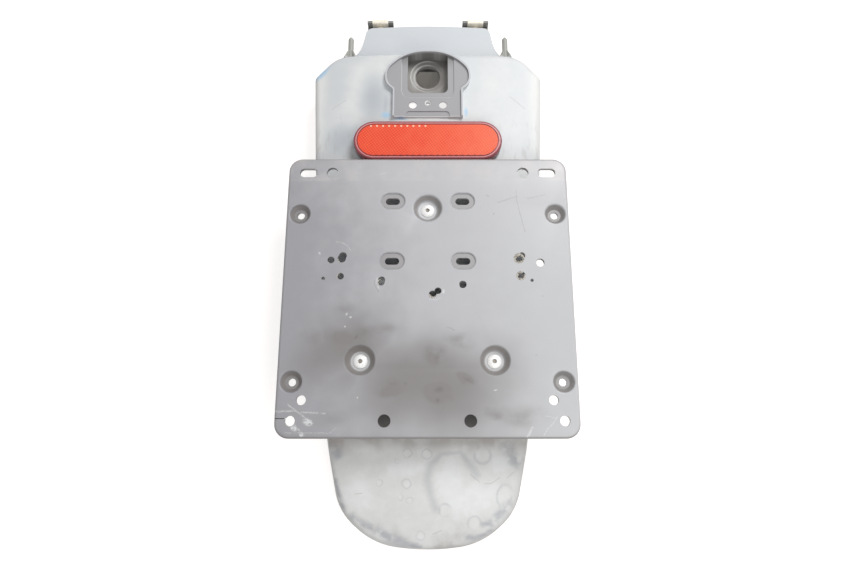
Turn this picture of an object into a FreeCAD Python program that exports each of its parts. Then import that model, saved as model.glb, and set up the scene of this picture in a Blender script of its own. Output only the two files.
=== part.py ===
import FreeCAD, Part
import math
import os

# Rear mudguard of a scooter with its number-plate holder and red reflector.
# Millimetres. Seen from behind the scooter, X is to the right and Y forward. Z is up along the plate.
# Sizes below are measured from the middle of the plate holder's front face.
# The finished pieces are moved so that the origin lies midway between the two clip nuts,
# at the height where their threads begin.

Vector = FreeCAD.Vector

# Number-plate holder
PLATE_WIDTH = 190.0
PLATE_HEIGHT = 188.0
PLATE_THICKNESS = 3.0
PLATE_CORNER_RADIUS = 9.0
PLATE_FRONT_ROUND = 2.2
TOP_BAND = 17.0
BOTTOM_BAND = 15.0
BAND_SET_BACK = 0.9

# Dished screw seats in the corners of the plate holder
CORNER_DISH_INSET = 9.3
CORNER_DISH_TOP = 53.0
CORNER_DISH_BOTTOM = -59.2
CORNER_DISH_RIM = 13.3
CORNER_DISH_FLOOR = 8.7
CORNER_DISH_DEPTH = 4.0
CORNER_HOLE = 5.0
DISH_WALL = 2.4
DISH_LIP = 1.1

# Deep dishes that are riveted to the mudguard
RIVET_TOP_Z = 57.2
RIVET_LOW_X = 42.9
RIVET_LOW_Z = -45.7
RIVET_DISH_RIM = 18.8
RIVET_DISH_FLOOR = 12.1
RIVET_DISH_DEPTH = 5.5

# Slots and holes for number plates of several sizes
TOP_SLOT_INSET = 13.8
TOP_SLOT_LENGTH = 12.2
TOP_SLOT_WIDTH = 6.5
TOP_HOLE_INSET = 30.0
TOP_HOLE = 7.9
TOP_ROW_DROP = 11.0
MIDDLE_SLOT_X = 23.5
MIDDLE_SLOT_TOP = 62.2
MIDDLE_SLOT_BOTTOM = 20.0
MIDDLE_SLOT_LENGTH = 9.5
MIDDLE_SLOT_WIDTH = 4.8
MIDDLE_RECESS_MARGIN = 3.3
MIDDLE_RECESS_DEPTH = 1.2
MIDDLE_RECESS_LIP = 0.6
LOW_HOLE_INSET = 16.2
LOW_HOLE_Z = -70.6
LOW_HOLE = 6.2
FOOT_HOLE_INSET = 9.8
FOOT_HOLE = 6.4
DRAIN_HOLE_X = 26.8
DRAIN_HOLE = 8.0
FOOT_ROW_RISE = 10.7

# Holes drilled by hand, each with its place across and up and its drill size
DRILLED_LEFT = [
    (-63.6, 20.6, 4.7),
    (-56.6, 21.6, 5.6),
    (-55.9, 23.4, 5.2),
    (-57.0, 9.5, 4.5),
    (-68.2, 8.0, 2.4),
]
DRILLED_RIGHT = [
    (60.2, 21.6, 7.0),
    (62.2, 23.6, 4.6),
    (74.1, 18.8, 5.6),
    (61.1, 9.8, 6.2),
    (68.2, 6.7, 2.2),
]
DRILLED_MIDDLE = [
    (-30.3, 5.4, 4.6),
    (-30.0, 7.0, 4.6),
    (6.8, -0.4, 4.6),
    (3.3, -2.7, 5.0),
    (23.0, 3.9, 5.0),
]

# Crack from the left edge of the plate holder into its lower left hole
CRACK_RISE = 1.4
CRACK_WIDTH = 0.5

# Mudguard shell
WALL = 2.6
LEDGE_Z = 186.0
LEDGE_HALF_WIDTH = 67.5
SHOULDER_HALF_WIDTH = 84.4
SHOULDER_DROP = 17.0
SHOULDER_RADIUS = 5.2
LEDGE_RADIUS = 22.0
WAIST_Z = 100.0
WAIST_HALF_WIDTH = 81.3
WAIST_RADIUS = 120.0
FLAP_TOP_Z = -95.0
FLAP_HALF_WIDTH = 66.0
FLAP_TOP_RADIUS = 150.0
FLAP_CORNER_Z = -139.0
FLAP_CORNER_HALF_WIDTH = 58.0
FLAP_CORNER_RADIUS = 36.0
FLAP_END_Z = -160.0
FLAP_END_HALF_WIDTH = 35.0
FLAP_END_RADIUS = 48.0
FLAP_TIP_Z = -164.0
FLAP_TIP_RADIUS = 140.0
EDGE_ROUND = 5.0
CROWN_RADIUS = 670.0
FACE_AT_LEDGE = 12.0
FACE_AT_BEND = 18.0
BEND_Z = -50.0
BEND_RADIUS = 350.0
BEND_SPARE = 1.2
RIM_DEPTH = 46.0

# Bosses on the mudguard that carry the plate holder
BOSS_DIAMETER = 19.0

# Lamp seat, with the corners of its mushroom outline given before they are rounded
LAMP_TOP_Z = 186.2
LAMP_TOP_X = 16.1
LAMP_DOME_RADIUS = 33.0
LAMP_BULGE_X = 31.2
LAMP_BULGE_TOP_Z = 171.1
LAMP_BULGE_TOP_RADIUS = 13.0
LAMP_BULGE_LOW_Z = 158.5
LAMP_BULGE_LOW_RADIUS = 11.0
LAMP_WAIST_X = 25.4
LAMP_WAIST_Z = 154.2
LAMP_WAIST_RADIUS = 2.0
LAMP_BOTTOM_Z = 132.3
LAMP_FRONT = 10.0
LAMP_RIM = 1.2
LAMP_SEAT_DEPTH = 1.6
LAMP_STEP_HALF_WIDTH = 19.2
LAMP_STEP_BOTTOM_Z = 147.6
LAMP_STEP_RADIUS = 5.5
LAMP_STEP_DEPTH = 0.7
LAMP_FOOT_HALF_WIDTH = 15.7
LAMP_FOOT_HEIGHT = 4.3
LAMP_FOOT_RADIUS = 2.5
POCKET_HALF_WIDTH = 14.7
POCKET_BOTTOM_Z = 151.7
POCKET_RADIUS = 4.2
POCKET_DEPTH = 9.0
LAMP_HOLE_Z = 170.6
LAMP_HOLE = 18.4
LAMP_SINK = 26.0
LAMP_SINK_DEPTH = 1.6
LAMP_SCREW_X = 10.9
LAMP_SCREW_Z = 141.5
LAMP_SCREW_HOLE = 5.6
LAMP_SCREW_LAND = 1.0
LAMP_SCREW_RELIEF = 9.4
LAMP_PILOT_Z = 143.3
LAMP_PILOT_HOLE = 3.0
LAMP_PILOT_SINK = 4.6
LAMP_PILOT_SINK_DEPTH = 0.8

# Neck that reaches up under the tail of the scooter
NECK_FACE = 24.0
NECK_TOP_Z = 217.2
NECK_CORNER_Z = 215.0
NECK_TOP_HALF_WIDTH = 46.8
NECK_BASE_HALF_WIDTH = 52.2
NECK_BASE_RISE = 3.0
NECK_FLARE = 24.0
NECK_FOOT_HALF_WIDTH = 64.0
NECK_ARCH_RADIUS = 400.0
NECK_CORNER_RADIUS = 6.0
NECK_DEPTH = 21.0
NECK_WEB_BOTTOM_Z = 165.0

# Tabs at the top of the neck, each with a clip nut
TAB_TOP_Z = 221.8
TAB_THICKNESS = 1.8
TAB_WIDTH = 20.0
TAB_RIB = 2.0
TAB_RIB_SETBACK = 6.0
TAB_HOLE = 7.0
TAB_HOLE_SETBACK = 6.4
CLIP_WIDTH = 12.2
CLIP_SHEET = 0.9
CLIP_FIT = 0.1
CLIP_TOP_LEG = 15.0
CLIP_LOW_LEG = 17.0
CLIP_BARREL = 6.4
CLIP_BARREL_LENGTH = 5.0
CLIP_FOLD_RADIUS = 1.6
CLIP_THREAD = 5.0
CLIP_TOP_HOLE = 5.6

# Locating pegs on the ledge
PEG_X = 58.6
PEG_SETBACK = 10.0
PEG_DIAMETER = 4.1
PEG_HEIGHT = 19.0
PEG_TIP = 1.8
PEG_TIP_DIAMETER = 1.7
PEG_ROOT = 2.1
PEG_ROOT_DIAMETER = 5.2
PEG_RIB_REACH = 6.0
PEG_RIB_HEIGHT = 7.5
PEG_RIB_THICKNESS = 1.5
PEG_RIB_TURN = 45.0

# Reflector
REFLECTOR_Z = 111.4
REFLECTOR_LENGTH = 105.0
REFLECTOR_HEIGHT = 29.8
REFLECTOR_FRONT = 7.0
REFLECTOR_SEAT = 13.5
LENS_DEPTH = 5.0
LENS_FACE = 2.4
LENS_WALL = 1.8
LENS_ROUND = 1.3
LENS_BORDER = 2.3
LENS_GROOVE = 0.5
BASE_FIT = 0.15
BASE_PLUG = 1.6
SEAT_MARGIN = 2.0
STUD_X = 30.0
STUD_DIAMETER = 5.0
STUD_HEAD = 9.0
STUD_HEAD_THICKNESS = 0.9
STUD_HOLE = 5.4
STUD_PAD = 13.0
STUD_PAD_DEPTH = 18.4
STUD_END = 1.5
NUT_ACROSS_FLATS = 8.0
NUT_HEIGHT = 4.7
NUT_FLANGE = 11.4
NUT_FLANGE_THICKNESS = 1.2

# Blind rivets
RIVET_DIAMETER = 4.8
RIVET_FIT = 0.1
RIVET_FLANGE = 9.0
RIVET_FLANGE_THICKNESS = 1.4
RIVET_DOME_FALL = 0.3
RIVET_RIM = 0.4
RIVET_BULB = 7.4
RIVET_BULB_FOOT = 6.6
RIVET_BULB_MIDDLE = 1.7
RIVET_BULB_LENGTH = 4.2
MANDREL_DIAMETER = 2.8
MANDREL_SINK = 0.9
MANDREL_HEAD = 4.4

# Spare length with which cutting shapes pass the faces that they cut
OVERRUN = 5.0

# Smallest length that counts, and the slope above which an edge runs along the depth
TINY = 1e-3
ALONG_DEPTH = 0.99

# Places worked out from the sizes above
PLATE_HALF_WIDTH = PLATE_WIDTH / 2
PLATE_TOP = PLATE_HEIGHT / 2
PLATE_BOTTOM = -PLATE_HEIGHT / 2
CORNER_DISH_X = PLATE_HALF_WIDTH - CORNER_DISH_INSET
TOP_SLOT_X = PLATE_HALF_WIDTH - TOP_SLOT_INSET
TOP_HOLE_X = PLATE_HALF_WIDTH - TOP_HOLE_INSET
LOW_HOLE_X = PLATE_HALF_WIDTH - LOW_HOLE_INSET
FOOT_HOLE_X = PLATE_HALF_WIDTH - FOOT_HOLE_INSET
TOP_ROW_Z = PLATE_TOP - TOP_ROW_DROP
FOOT_ROW_Z = PLATE_BOTTOM + FOOT_ROW_RISE
BOSS_FACE = RIVET_DISH_DEPTH + DISH_WALL
BOSS_FLOOR = BOSS_FACE + WALL
RIVET_PLACES = [(0.0, RIVET_TOP_Z), (-RIVET_LOW_X, RIVET_LOW_Z), (RIVET_LOW_X, RIVET_LOW_Z)]
LAMP_SEAT = LAMP_FRONT + LAMP_SEAT_DEPTH
POCKET_FLOOR = LAMP_SEAT + POCKET_DEPTH
POCKET_BACK = POCKET_FLOOR + WALL + LAMP_SINK_DEPTH
NECK_WEB = NECK_FACE + NECK_DEPTH
TAB_X = NECK_TOP_HALF_WIDTH - TAB_WIDTH / 2
CLIP_Y = NECK_FACE + TAB_HOLE_SETBACK
LENS_BACK = REFLECTOR_FRONT + LENS_DEPTH
PLUG_FRONT = LENS_BACK - BASE_PLUG
STUD_PLACES = [(-STUD_X, REFLECTOR_Z), (STUD_X, REFLECTOR_Z)]
CLIP_MOUTH_Z = TAB_TOP_Z - TAB_THICKNESS - CLIP_FIT
ORIGIN = Vector(0, CLIP_Y, CLIP_MOUTH_Z)


def corner_reaches(places, radii):
    """Half angle at each corner, and the distance from it to where its rounding starts."""
    count = len(places)
    halves, wanted = [], []
    for i, radius in enumerate(radii):
        back = places[i - 1] - places[i]
        ahead = places[(i + 1) % count] - places[i]
        halves.append(back.getAngle(ahead) / 2)
        wanted.append(radius / math.tan(halves[i]))
    shares = []
    for i in range(count):
        following = (i + 1) % count
        length = places[i].distanceToPoint(places[following])
        needed = max(wanted[i] + wanted[following], TINY)
        shares.append(min(1.0, length / needed))
    return halves, [wanted[i] * min(shares[i - 1], shares[i]) for i in range(count)]


def ring(corners, depth):
    """Closed wire in an upright plane from corners (across, up, corner radius)."""
    places = [Vector(x, depth, z) for x, z, _ in corners]
    count = len(corners)
    halves, reaches = corner_reaches(places, [radius for _, _, radius in corners])
    starts, ends, arcs = [], [], []
    for i, here in enumerate(places):
        back = (places[i - 1] - here).normalize()
        ahead = (places[(i + 1) % count] - here).normalize()
        radius = reaches[i] * math.tan(halves[i])
        starts.append(here + back * reaches[i])
        ends.append(here + ahead * reaches[i])
        arcs.append(here + (back + ahead).normalize() * (radius / math.sin(halves[i]) - radius))
    edges = []
    for i in range(count):
        if reaches[i] > 0:
            edges.append(Part.Arc(starts[i], arcs[i], ends[i]).toShape())
        following = starts[(i + 1) % count]
        if ends[i].distanceToPoint(following) > TINY:
            edges.append(Part.LineSegment(ends[i], following).toShape())
    return Part.Wire(Part.__sortEdges__(edges))


def prism(corners, front, back):
    """Upright outline carried from front to back."""
    return Part.Face(ring(corners, front)).extrude(Vector(0, back - front, 0))


def both_sides(right_half):
    """Whole outline from its right half, listed from top to bottom."""
    left_half = [(-x, z, r) for x, z, r in reversed(right_half) if x > 0]
    return right_half + left_half


def rectangle(half_width, bottom, top, bottom_radius, top_radius):
    """Outline of an upright rectangle about the middle, with its own corner radii."""
    return both_sides([(half_width, top, top_radius), (half_width, bottom, bottom_radius)])


def side_slab(places, left, right):
    """Side profile of (depth, up) places carried from left to right."""
    points = [Vector(left, y, z) for y, z in places]
    return Part.Face(Part.makePolygon(points + points[:1])).extrude(Vector(right - left, 0, 0))


def block(x, width, front, depth, bottom, height):
    """Box that lies evenly about a place across."""
    return Part.makeBox(width, depth, height, Vector(x - width / 2, front, bottom))


def drum(x, z, diameter, front, back):
    """Round bar along the depth."""
    return Part.makeCylinder(diameter / 2, back - front, Vector(x, front, z), Vector(0, 1, 0))


def taper(x, z, front_diameter, back_diameter, front, back):
    """Cone along the depth."""
    place = Vector(x, front, z)
    return Part.makeCone(front_diameter / 2, back_diameter / 2, back - front, place, Vector(0, 1, 0))


def stadium_ring(x, z, length, height, depth):
    """Upright wire with round ends, lying across."""
    half = length / 2
    rise = height / 2
    left = Vector(x - half + rise, depth, z + rise)
    right = Vector(x + half - rise, depth, z + rise)
    low_right = Vector(x + half - rise, depth, z - rise)
    low_left = Vector(x - half + rise, depth, z - rise)
    return Part.Wire([
        Part.LineSegment(left, right).toShape(),
        Part.Arc(right, Vector(x + half, depth, z), low_right).toShape(),
        Part.LineSegment(low_right, low_left).toShape(),
        Part.Arc(low_left, Vector(x - half, depth, z), left).toShape(),
    ])


def stadium(x, z, length, height, front, back):
    """Flat bar with round ends, lying across."""
    return Part.Face(stadium_ring(x, z, length, height, front)).extrude(Vector(0, back - front, 0))


def line(start, end):
    """Straight edge between two (radius, depth) places."""
    return Part.LineSegment(Vector(*start, 0), Vector(*end, 0)).toShape()


def curve(start, middle, end):
    """Round edge through three (radius, depth) places."""
    return Part.Arc(Vector(*start, 0), Vector(*middle, 0), Vector(*end, 0)).toShape()


def turned(x, z, edges):
    """Piece turned about an axis along the depth, from edges drawn as (radius, depth)."""
    body = Part.Face(Part.Wire(edges)).revolve(Vector(0, 0, 0), Vector(0, 1, 0), 360)
    return body.translated(Vector(x, 0, z))


def merged(first, others):
    """One solid from touching pieces."""
    return first.fuse(others).removeSplitter()


def save(name, shape):
    """Write one piece, moved to the part's origin."""
    shape.translated(-ORIGIN).exportStep(os.path.join("parts", name + ".step"))
    print(name, len(shape.Solids), "solids", round(shape.Volume), "mm3", shape.isValid())


# Mudguard

def mudguard_outline():
    """Outline of the shell as seen from behind."""
    return both_sides([
        (LEDGE_HALF_WIDTH, LEDGE_Z, LEDGE_RADIUS),
        (SHOULDER_HALF_WIDTH, LEDGE_Z - SHOULDER_DROP, SHOULDER_RADIUS),
        (WAIST_HALF_WIDTH, WAIST_Z, WAIST_RADIUS),
        (FLAP_HALF_WIDTH, FLAP_TOP_Z, FLAP_TOP_RADIUS),
        (FLAP_CORNER_HALF_WIDTH, FLAP_CORNER_Z, FLAP_CORNER_RADIUS),
        (FLAP_END_HALF_WIDTH, FLAP_END_Z, FLAP_END_RADIUS),
        (0.0, FLAP_TIP_Z, FLAP_TIP_RADIUS),
    ])


def crowned_form(inset):
    """Crowned face carried down the back and round the bend of the flap."""
    half = SHOULDER_HALF_WIDTH + OVERRUN
    radius = CROWN_RADIUS - inset
    edge = CROWN_RADIUS - math.sqrt(radius ** 2 - half ** 2)
    deep = RIM_DEPTH + OVERRUN
    left = Vector(-half, edge, 0)
    right = Vector(half, edge, 0)
    crown = Part.Arc(left, Vector(0, inset, 0), right).toShape()
    back = Part.makePolygon([right, Vector(half, deep, 0), Vector(-half, deep, 0), left])
    section = Part.Face(Part.Wire([crown] + back.Edges))
    straight = section.extrude(Vector(0, 0, LEDGE_Z - BEND_Z + OVERRUN))
    sweep = math.degrees((BEND_Z - FLAP_TIP_Z) / BEND_RADIUS) * BEND_SPARE
    bend = section.revolve(Vector(0, BEND_RADIUS, 0), Vector(1, 0, 0), sweep)
    form = straight.fuse(bend)
    lean = math.degrees(math.atan2(FACE_AT_BEND - FACE_AT_LEDGE, LEDGE_Z - BEND_Z))
    form.rotate(Vector(0, 0, 0), Vector(1, 0, 0), lean)
    form.translate(Vector(0, FACE_AT_BEND, BEND_Z))
    return form


def on_outline(edge, outline):
    """Whether an edge runs along an upright outline, not across it."""
    middle = edge.valueAt((edge.FirstParameter + edge.LastParameter) / 2)
    if abs(edge.tangentAt(edge.FirstParameter).y) > ALONG_DEPTH:
        return False
    flat = Part.Vertex(middle.x, outline.BoundBox.YMin, middle.z)
    return flat.distToShape(outline)[0] < TINY


def face_edges(shape, outline):
    """Edges where the crowned face meets the walls that follow an outline."""
    back = shape.BoundBox.YMax - TINY
    return [edge for edge in shape.Edges if edge.BoundBox.YMin < back and on_outline(edge, outline)]


def rounded_block(outline, inset, back):
    """Solid inside an outline and behind the crowned face, with its front edge rounded."""
    front = outline.BoundBox.YMin
    body = Part.Face(outline).extrude(Vector(0, back - front, 0)).common(crowned_form(inset))
    return body.makeFillet(EDGE_ROUND - inset, face_edges(body, outline))


def lamp_outline():
    """Mushroom outline of the lamp seat."""
    return both_sides([
        (LAMP_TOP_X, LAMP_TOP_Z, LAMP_DOME_RADIUS),
        (LAMP_BULGE_X, LAMP_BULGE_TOP_Z, LAMP_BULGE_TOP_RADIUS),
        (LAMP_BULGE_X, LAMP_BULGE_LOW_Z, LAMP_BULGE_LOW_RADIUS),
        (LAMP_WAIST_X, LAMP_WAIST_Z, LAMP_WAIST_RADIUS),
        (LAMP_WAIST_X, LAMP_BOTTOM_Z, 0.0),
    ])


def lamp_recess(front, back):
    """Space inside the rim of the lamp seat, open at its foot."""
    inside = Part.Face(ring(lamp_outline(), front)).makeOffset2D(-LAMP_RIM)
    width = 2 * (LAMP_WAIST_X - LAMP_RIM)
    foot = block(0.0, width, front, back - front, LAMP_BOTTOM_Z - OVERRUN, OVERRUN + 2 * LAMP_RIM)
    return merged(inside.extrude(Vector(0, back - front, 0)), [foot])


def tab_rib(x):
    """Rib under one side of a tab, with its upper end set back from the face of the neck."""
    foot = LEDGE_Z - WALL / 2
    under = TAB_TOP_Z - TAB_THICKNESS
    profile = [
        (NECK_FACE, foot),
        (NECK_WEB, foot),
        (NECK_WEB, under),
        (NECK_FACE + TAB_RIB_SETBACK, under),
        (NECK_FACE, NECK_CORNER_Z - NECK_CORNER_RADIUS),
    ]
    return side_slab(profile, x - TAB_RIB / 2, x + TAB_RIB / 2)


def neck():
    """Box-shaped neck: face, web behind it and a ribbed tab at each upper corner."""
    foot = LEDGE_Z - WALL / 2
    face = prism(both_sides([
        (0.0, NECK_TOP_Z, NECK_ARCH_RADIUS),
        (NECK_TOP_HALF_WIDTH, NECK_CORNER_Z, NECK_CORNER_RADIUS),
        (NECK_BASE_HALF_WIDTH, LEDGE_Z + NECK_BASE_RISE, NECK_FLARE),
        (NECK_FOOT_HALF_WIDTH, foot, 0.0),
    ]), NECK_FACE, NECK_FACE + WALL)
    web = rectangle(NECK_TOP_HALF_WIDTH, NECK_WEB_BOTTOM_Z, NECK_CORNER_Z, NECK_CORNER_RADIUS, 0.0)
    pieces = [prism(web, NECK_WEB - WALL, NECK_WEB)]
    under = TAB_TOP_Z - TAB_THICKNESS
    rib_offset = (TAB_WIDTH - TAB_RIB) / 2
    holes = []
    for x in (-TAB_X, TAB_X):
        pieces += [tab_rib(x - rib_offset), tab_rib(x + rib_offset)]
        pieces.append(block(x, TAB_WIDTH, NECK_FACE, NECK_DEPTH, under, TAB_THICKNESS))
        pieces.append(block(x, TAB_WIDTH, NECK_WEB - WALL, WALL, foot, TAB_TOP_Z - foot))
        holes.append(Part.makeCylinder(TAB_HOLE / 2, TAB_THICKNESS, Vector(x, CLIP_Y, under)))
    return merged(face, pieces).cut(holes)


def neck_hollow():
    """Cut through the ledge that joins the space in the neck to the space in the shell."""
    width = 2 * (TAB_X - TAB_WIDTH / 2 - WALL)
    front = NECK_FACE + WALL
    return block(0.0, width, front, NECK_WEB - WALL - front, LEDGE_Z - 2 * WALL, 3 * WALL)


def peg(x):
    """Locating peg on the ledge, with a pointed end and four slanting buttress ribs."""
    y = FACE_AT_LEDGE + PEG_SETBACK
    foot = LEDGE_Z - PEG_ROOT
    radius = PEG_DIAMETER / 2
    shaft_top = LEDGE_Z + PEG_HEIGHT - PEG_TIP
    rise = LEDGE_Z + PEG_RIB_HEIGHT
    root = Part.makeCone(PEG_ROOT_DIAMETER / 2, radius, rise - foot, Vector(x, y, foot))
    shaft = Part.makeCylinder(radius, shaft_top - rise, Vector(x, y, rise))
    tip = Part.makeCone(radius, PEG_TIP_DIAMETER / 2, PEG_TIP, Vector(x, y, shaft_top))
    half = PEG_RIB_THICKNESS / 2
    right_half = [(radius, rise), (PEG_RIB_REACH, LEDGE_Z), (PEG_RIB_REACH, foot)]
    left_half = [(-y, z) for y, z in reversed(right_half)]
    rib = side_slab(right_half + left_half, -half, half)
    ribs = []
    for turn in (-PEG_RIB_TURN, PEG_RIB_TURN):
        piece = rib.translated(Vector(x, y, 0))
        piece.rotate(Vector(x, y, 0), Vector(0, 0, 1), turn)
        ribs.append(piece)
    return merged(shaft, [tip, root] + ribs)


def lamp_seat_cuts():
    """Recess of the lamp seat with its step, foot, pocket, cable hole and screw holes."""
    above = LAMP_TOP_Z + OVERRUN
    step_floor = LAMP_SEAT + LAMP_STEP_DEPTH
    step = rectangle(LAMP_STEP_HALF_WIDTH, LAMP_STEP_BOTTOM_Z, above, LAMP_STEP_RADIUS, 0.0)
    foot_top = LAMP_BOTTOM_Z + LAMP_FOOT_HEIGHT
    foot = rectangle(LAMP_FOOT_HALF_WIDTH, LAMP_BOTTOM_Z - OVERRUN, foot_top, 0.0, LAMP_FOOT_RADIUS)
    pocket = rectangle(POCKET_HALF_WIDTH, POCKET_BOTTOM_Z, above, POCKET_RADIUS, 0.0)
    column = lamp_recess(LAMP_FRONT, POCKET_FLOOR)
    behind = POCKET_BACK + OVERRUN
    pilot_floor = LAMP_SEAT + LAMP_PILOT_SINK_DEPTH
    cuts = [
        lamp_recess(LAMP_FRONT - OVERRUN, LAMP_SEAT),
        prism(step, LAMP_FRONT, step_floor).common(column),
        prism(foot, LAMP_FRONT, step_floor),
        prism(pocket, LAMP_FRONT, POCKET_FLOOR).common(column),
        drum(0.0, LAMP_HOLE_Z, LAMP_HOLE, LAMP_FRONT, behind),
        taper(0.0, LAMP_HOLE_Z, LAMP_SINK, LAMP_HOLE, POCKET_FLOOR, POCKET_FLOOR + LAMP_SINK_DEPTH),
        drum(0.0, LAMP_PILOT_Z, LAMP_PILOT_HOLE, LAMP_FRONT, behind),
        taper(0.0, LAMP_PILOT_Z, LAMP_PILOT_SINK, LAMP_PILOT_HOLE, LAMP_SEAT, pilot_floor),
    ]
    for x in (-LAMP_SCREW_X, LAMP_SCREW_X):
        cuts.append(drum(x, LAMP_SCREW_Z, LAMP_SCREW_HOLE, LAMP_FRONT, behind))
        cuts.append(drum(x, LAMP_SCREW_Z, LAMP_SCREW_RELIEF, LAMP_SEAT + LAMP_SCREW_LAND, behind))
    return cuts


def lamp_box():
    """Box around the lamp pocket inside the shell, with its lower back edge cut off."""
    half_width = POCKET_HALF_WIDTH + WALL
    bottom = POCKET_BOTTOM_Z - WALL
    top = LEDGE_Z - WALL / 2
    slope = POCKET_FLOOR - WALL / 2
    profile = [
        (LAMP_SEAT, bottom),
        (slope, bottom),
        (POCKET_BACK, bottom + POCKET_BACK - slope),
        (POCKET_BACK, top),
        (LAMP_SEAT, top),
    ]
    return side_slab(profile, -half_width, half_width)


def mudguard():
    """Shell with lamp seat, reflector seat, bosses, neck and pegs, as one moulding."""
    outline = ring(mudguard_outline(), -OVERRUN)
    cavity_outline = Part.Face(outline).makeOffset2D(-WALL).OuterWire
    cavity = rounded_block(cavity_outline, WALL, RIM_DEPTH + OVERRUN)
    lamp_block = prism(lamp_outline(), LAMP_FRONT, FACE_AT_LEDGE + EDGE_ROUND)
    seat_length = REFLECTOR_LENGTH - 2 * SEAT_MARGIN
    seat_height = REFLECTOR_HEIGHT - 2 * SEAT_MARGIN
    reflector_seat = stadium(0.0, REFLECTOR_Z, seat_length, seat_height, REFLECTOR_SEAT, RIM_DEPTH)
    bosses = [drum(x, z, BOSS_DIAMETER, BOSS_FACE, RIM_DEPTH) for x, z in RIVET_PLACES]
    form = merged(rounded_block(outline, 0.0, RIM_DEPTH), [lamp_block, reflector_seat] + bosses)
    inner_parts = [lamp_box().common(form)]
    for x in (-STUD_X, STUD_X):
        inner_parts.append(drum(x, REFLECTOR_Z, STUD_PAD, REFLECTOR_SEAT + WALL / 2, STUD_PAD_DEPTH))
    pegs = [peg(-PEG_X), peg(PEG_X)]
    body = merged(form.cut(cavity), inner_parts + [neck()] + pegs)
    cuts = lamp_seat_cuts() + [neck_hollow()]
    hollow = BOSS_DIAMETER - 2 * WALL
    for x, z in RIVET_PLACES:
        cuts.append(drum(x, z, hollow, BOSS_FLOOR, FACE_AT_BEND + WALL + OVERRUN))
        cuts.append(drum(x, z, RIVET_DIAMETER + RIVET_FIT, BOSS_FACE, BOSS_FLOOR))
    for x in (-STUD_X, STUD_X):
        cuts.append(drum(x, REFLECTOR_Z, STUD_HOLE, REFLECTOR_SEAT, STUD_PAD_DEPTH))
    return body.cut(cuts)


# Number-plate holder

def rim_edges(shape, outline):
    """Edges of a sheet that run along its outline."""
    return [edge for edge in shape.Edges if on_outline(edge, outline)]


def plate_sheet():
    """Flat sheet with its top and bottom bands set back a little."""
    front = [
        (BAND_SET_BACK, PLATE_TOP),
        (0.0, PLATE_TOP - TOP_BAND),
        (0.0, PLATE_BOTTOM + BOTTOM_BAND),
        (BAND_SET_BACK, PLATE_BOTTOM),
    ]
    back = [(y + PLATE_THICKNESS, z) for y, z in reversed(front)]
    corners = rectangle(PLATE_HALF_WIDTH, PLATE_BOTTOM, PLATE_TOP, PLATE_CORNER_RADIUS, PLATE_CORNER_RADIUS)
    outline = ring(corners, -OVERRUN)
    column = Part.Face(outline).extrude(Vector(0, 2 * OVERRUN + PLATE_THICKNESS, 0))
    sheet = side_slab(front + back, -PLATE_HALF_WIDTH, PLATE_HALF_WIDTH).common(column)
    edges = rim_edges(sheet, outline)
    front_edges = [edge for edge in edges if edge.BoundBox.YMax < BAND_SET_BACK + TINY]
    return sheet.makeFillet(PLATE_FRONT_ROUND, front_edges)


def dish(x, z, rim, floor, depth):
    """Dished seat behind the sheet, and the hollow with a rounded lip to cut in front of it."""
    outside = floor + 2 * DISH_WALL
    start = PLATE_FRONT_ROUND
    outer_rim = outside + (rim - floor) * (1 - start / depth)
    seat = taper(x, z, outer_rim, outside, start, depth).fuse(drum(x, z, outside, depth, depth + DISH_WALL))
    mouth = rim / 2 + DISH_LIP
    turn = DISH_LIP * (1 - math.sin(math.pi / 4))
    hollow = turned(x, z, [
        line((0.0, 0.0), (mouth, 0.0)),
        curve((mouth, 0.0), (rim / 2 + turn, turn), (rim / 2, DISH_LIP)),
        line((rim / 2, DISH_LIP), (floor / 2, depth)),
        line((floor / 2, depth), (0.0, depth)),
        line((0.0, depth), (0.0, 0.0)),
    ])
    return seat, hollow


def recessed_slot(x, z):
    """Cuts for a slot at the bottom of a shallow recess with a bevelled lip."""
    length = MIDDLE_SLOT_LENGTH + 2 * MIDDLE_RECESS_MARGIN
    width = MIDDLE_SLOT_WIDTH + 2 * MIDDLE_RECESS_MARGIN
    lip = MIDDLE_RECESS_LIP
    mouth = stadium_ring(x, z, length + 2 * lip, width + 2 * lip, 0.0)
    throat = stadium_ring(x, z, length, width, lip)
    return [
        Part.makeLoft([mouth, throat], True, True),
        stadium(x, z, length, width, -OVERRUN, MIDDLE_RECESS_DEPTH),
        stadium(x, z, MIDDLE_SLOT_LENGTH, MIDDLE_SLOT_WIDTH, -OVERRUN, PLATE_THICKNESS + OVERRUN),
    ]


def crack():
    """Thin gap from the left edge of the sheet into its lower left hole."""
    left = -PLATE_HALF_WIDTH - OVERRUN
    bottom = FOOT_ROW_Z + CRACK_RISE - CRACK_WIDTH / 2
    length = -FOOT_HOLE_X - left
    return block(left + length / 2, length, -OVERRUN, PLATE_THICKNESS + 2 * OVERRUN, bottom, CRACK_WIDTH)


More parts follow.
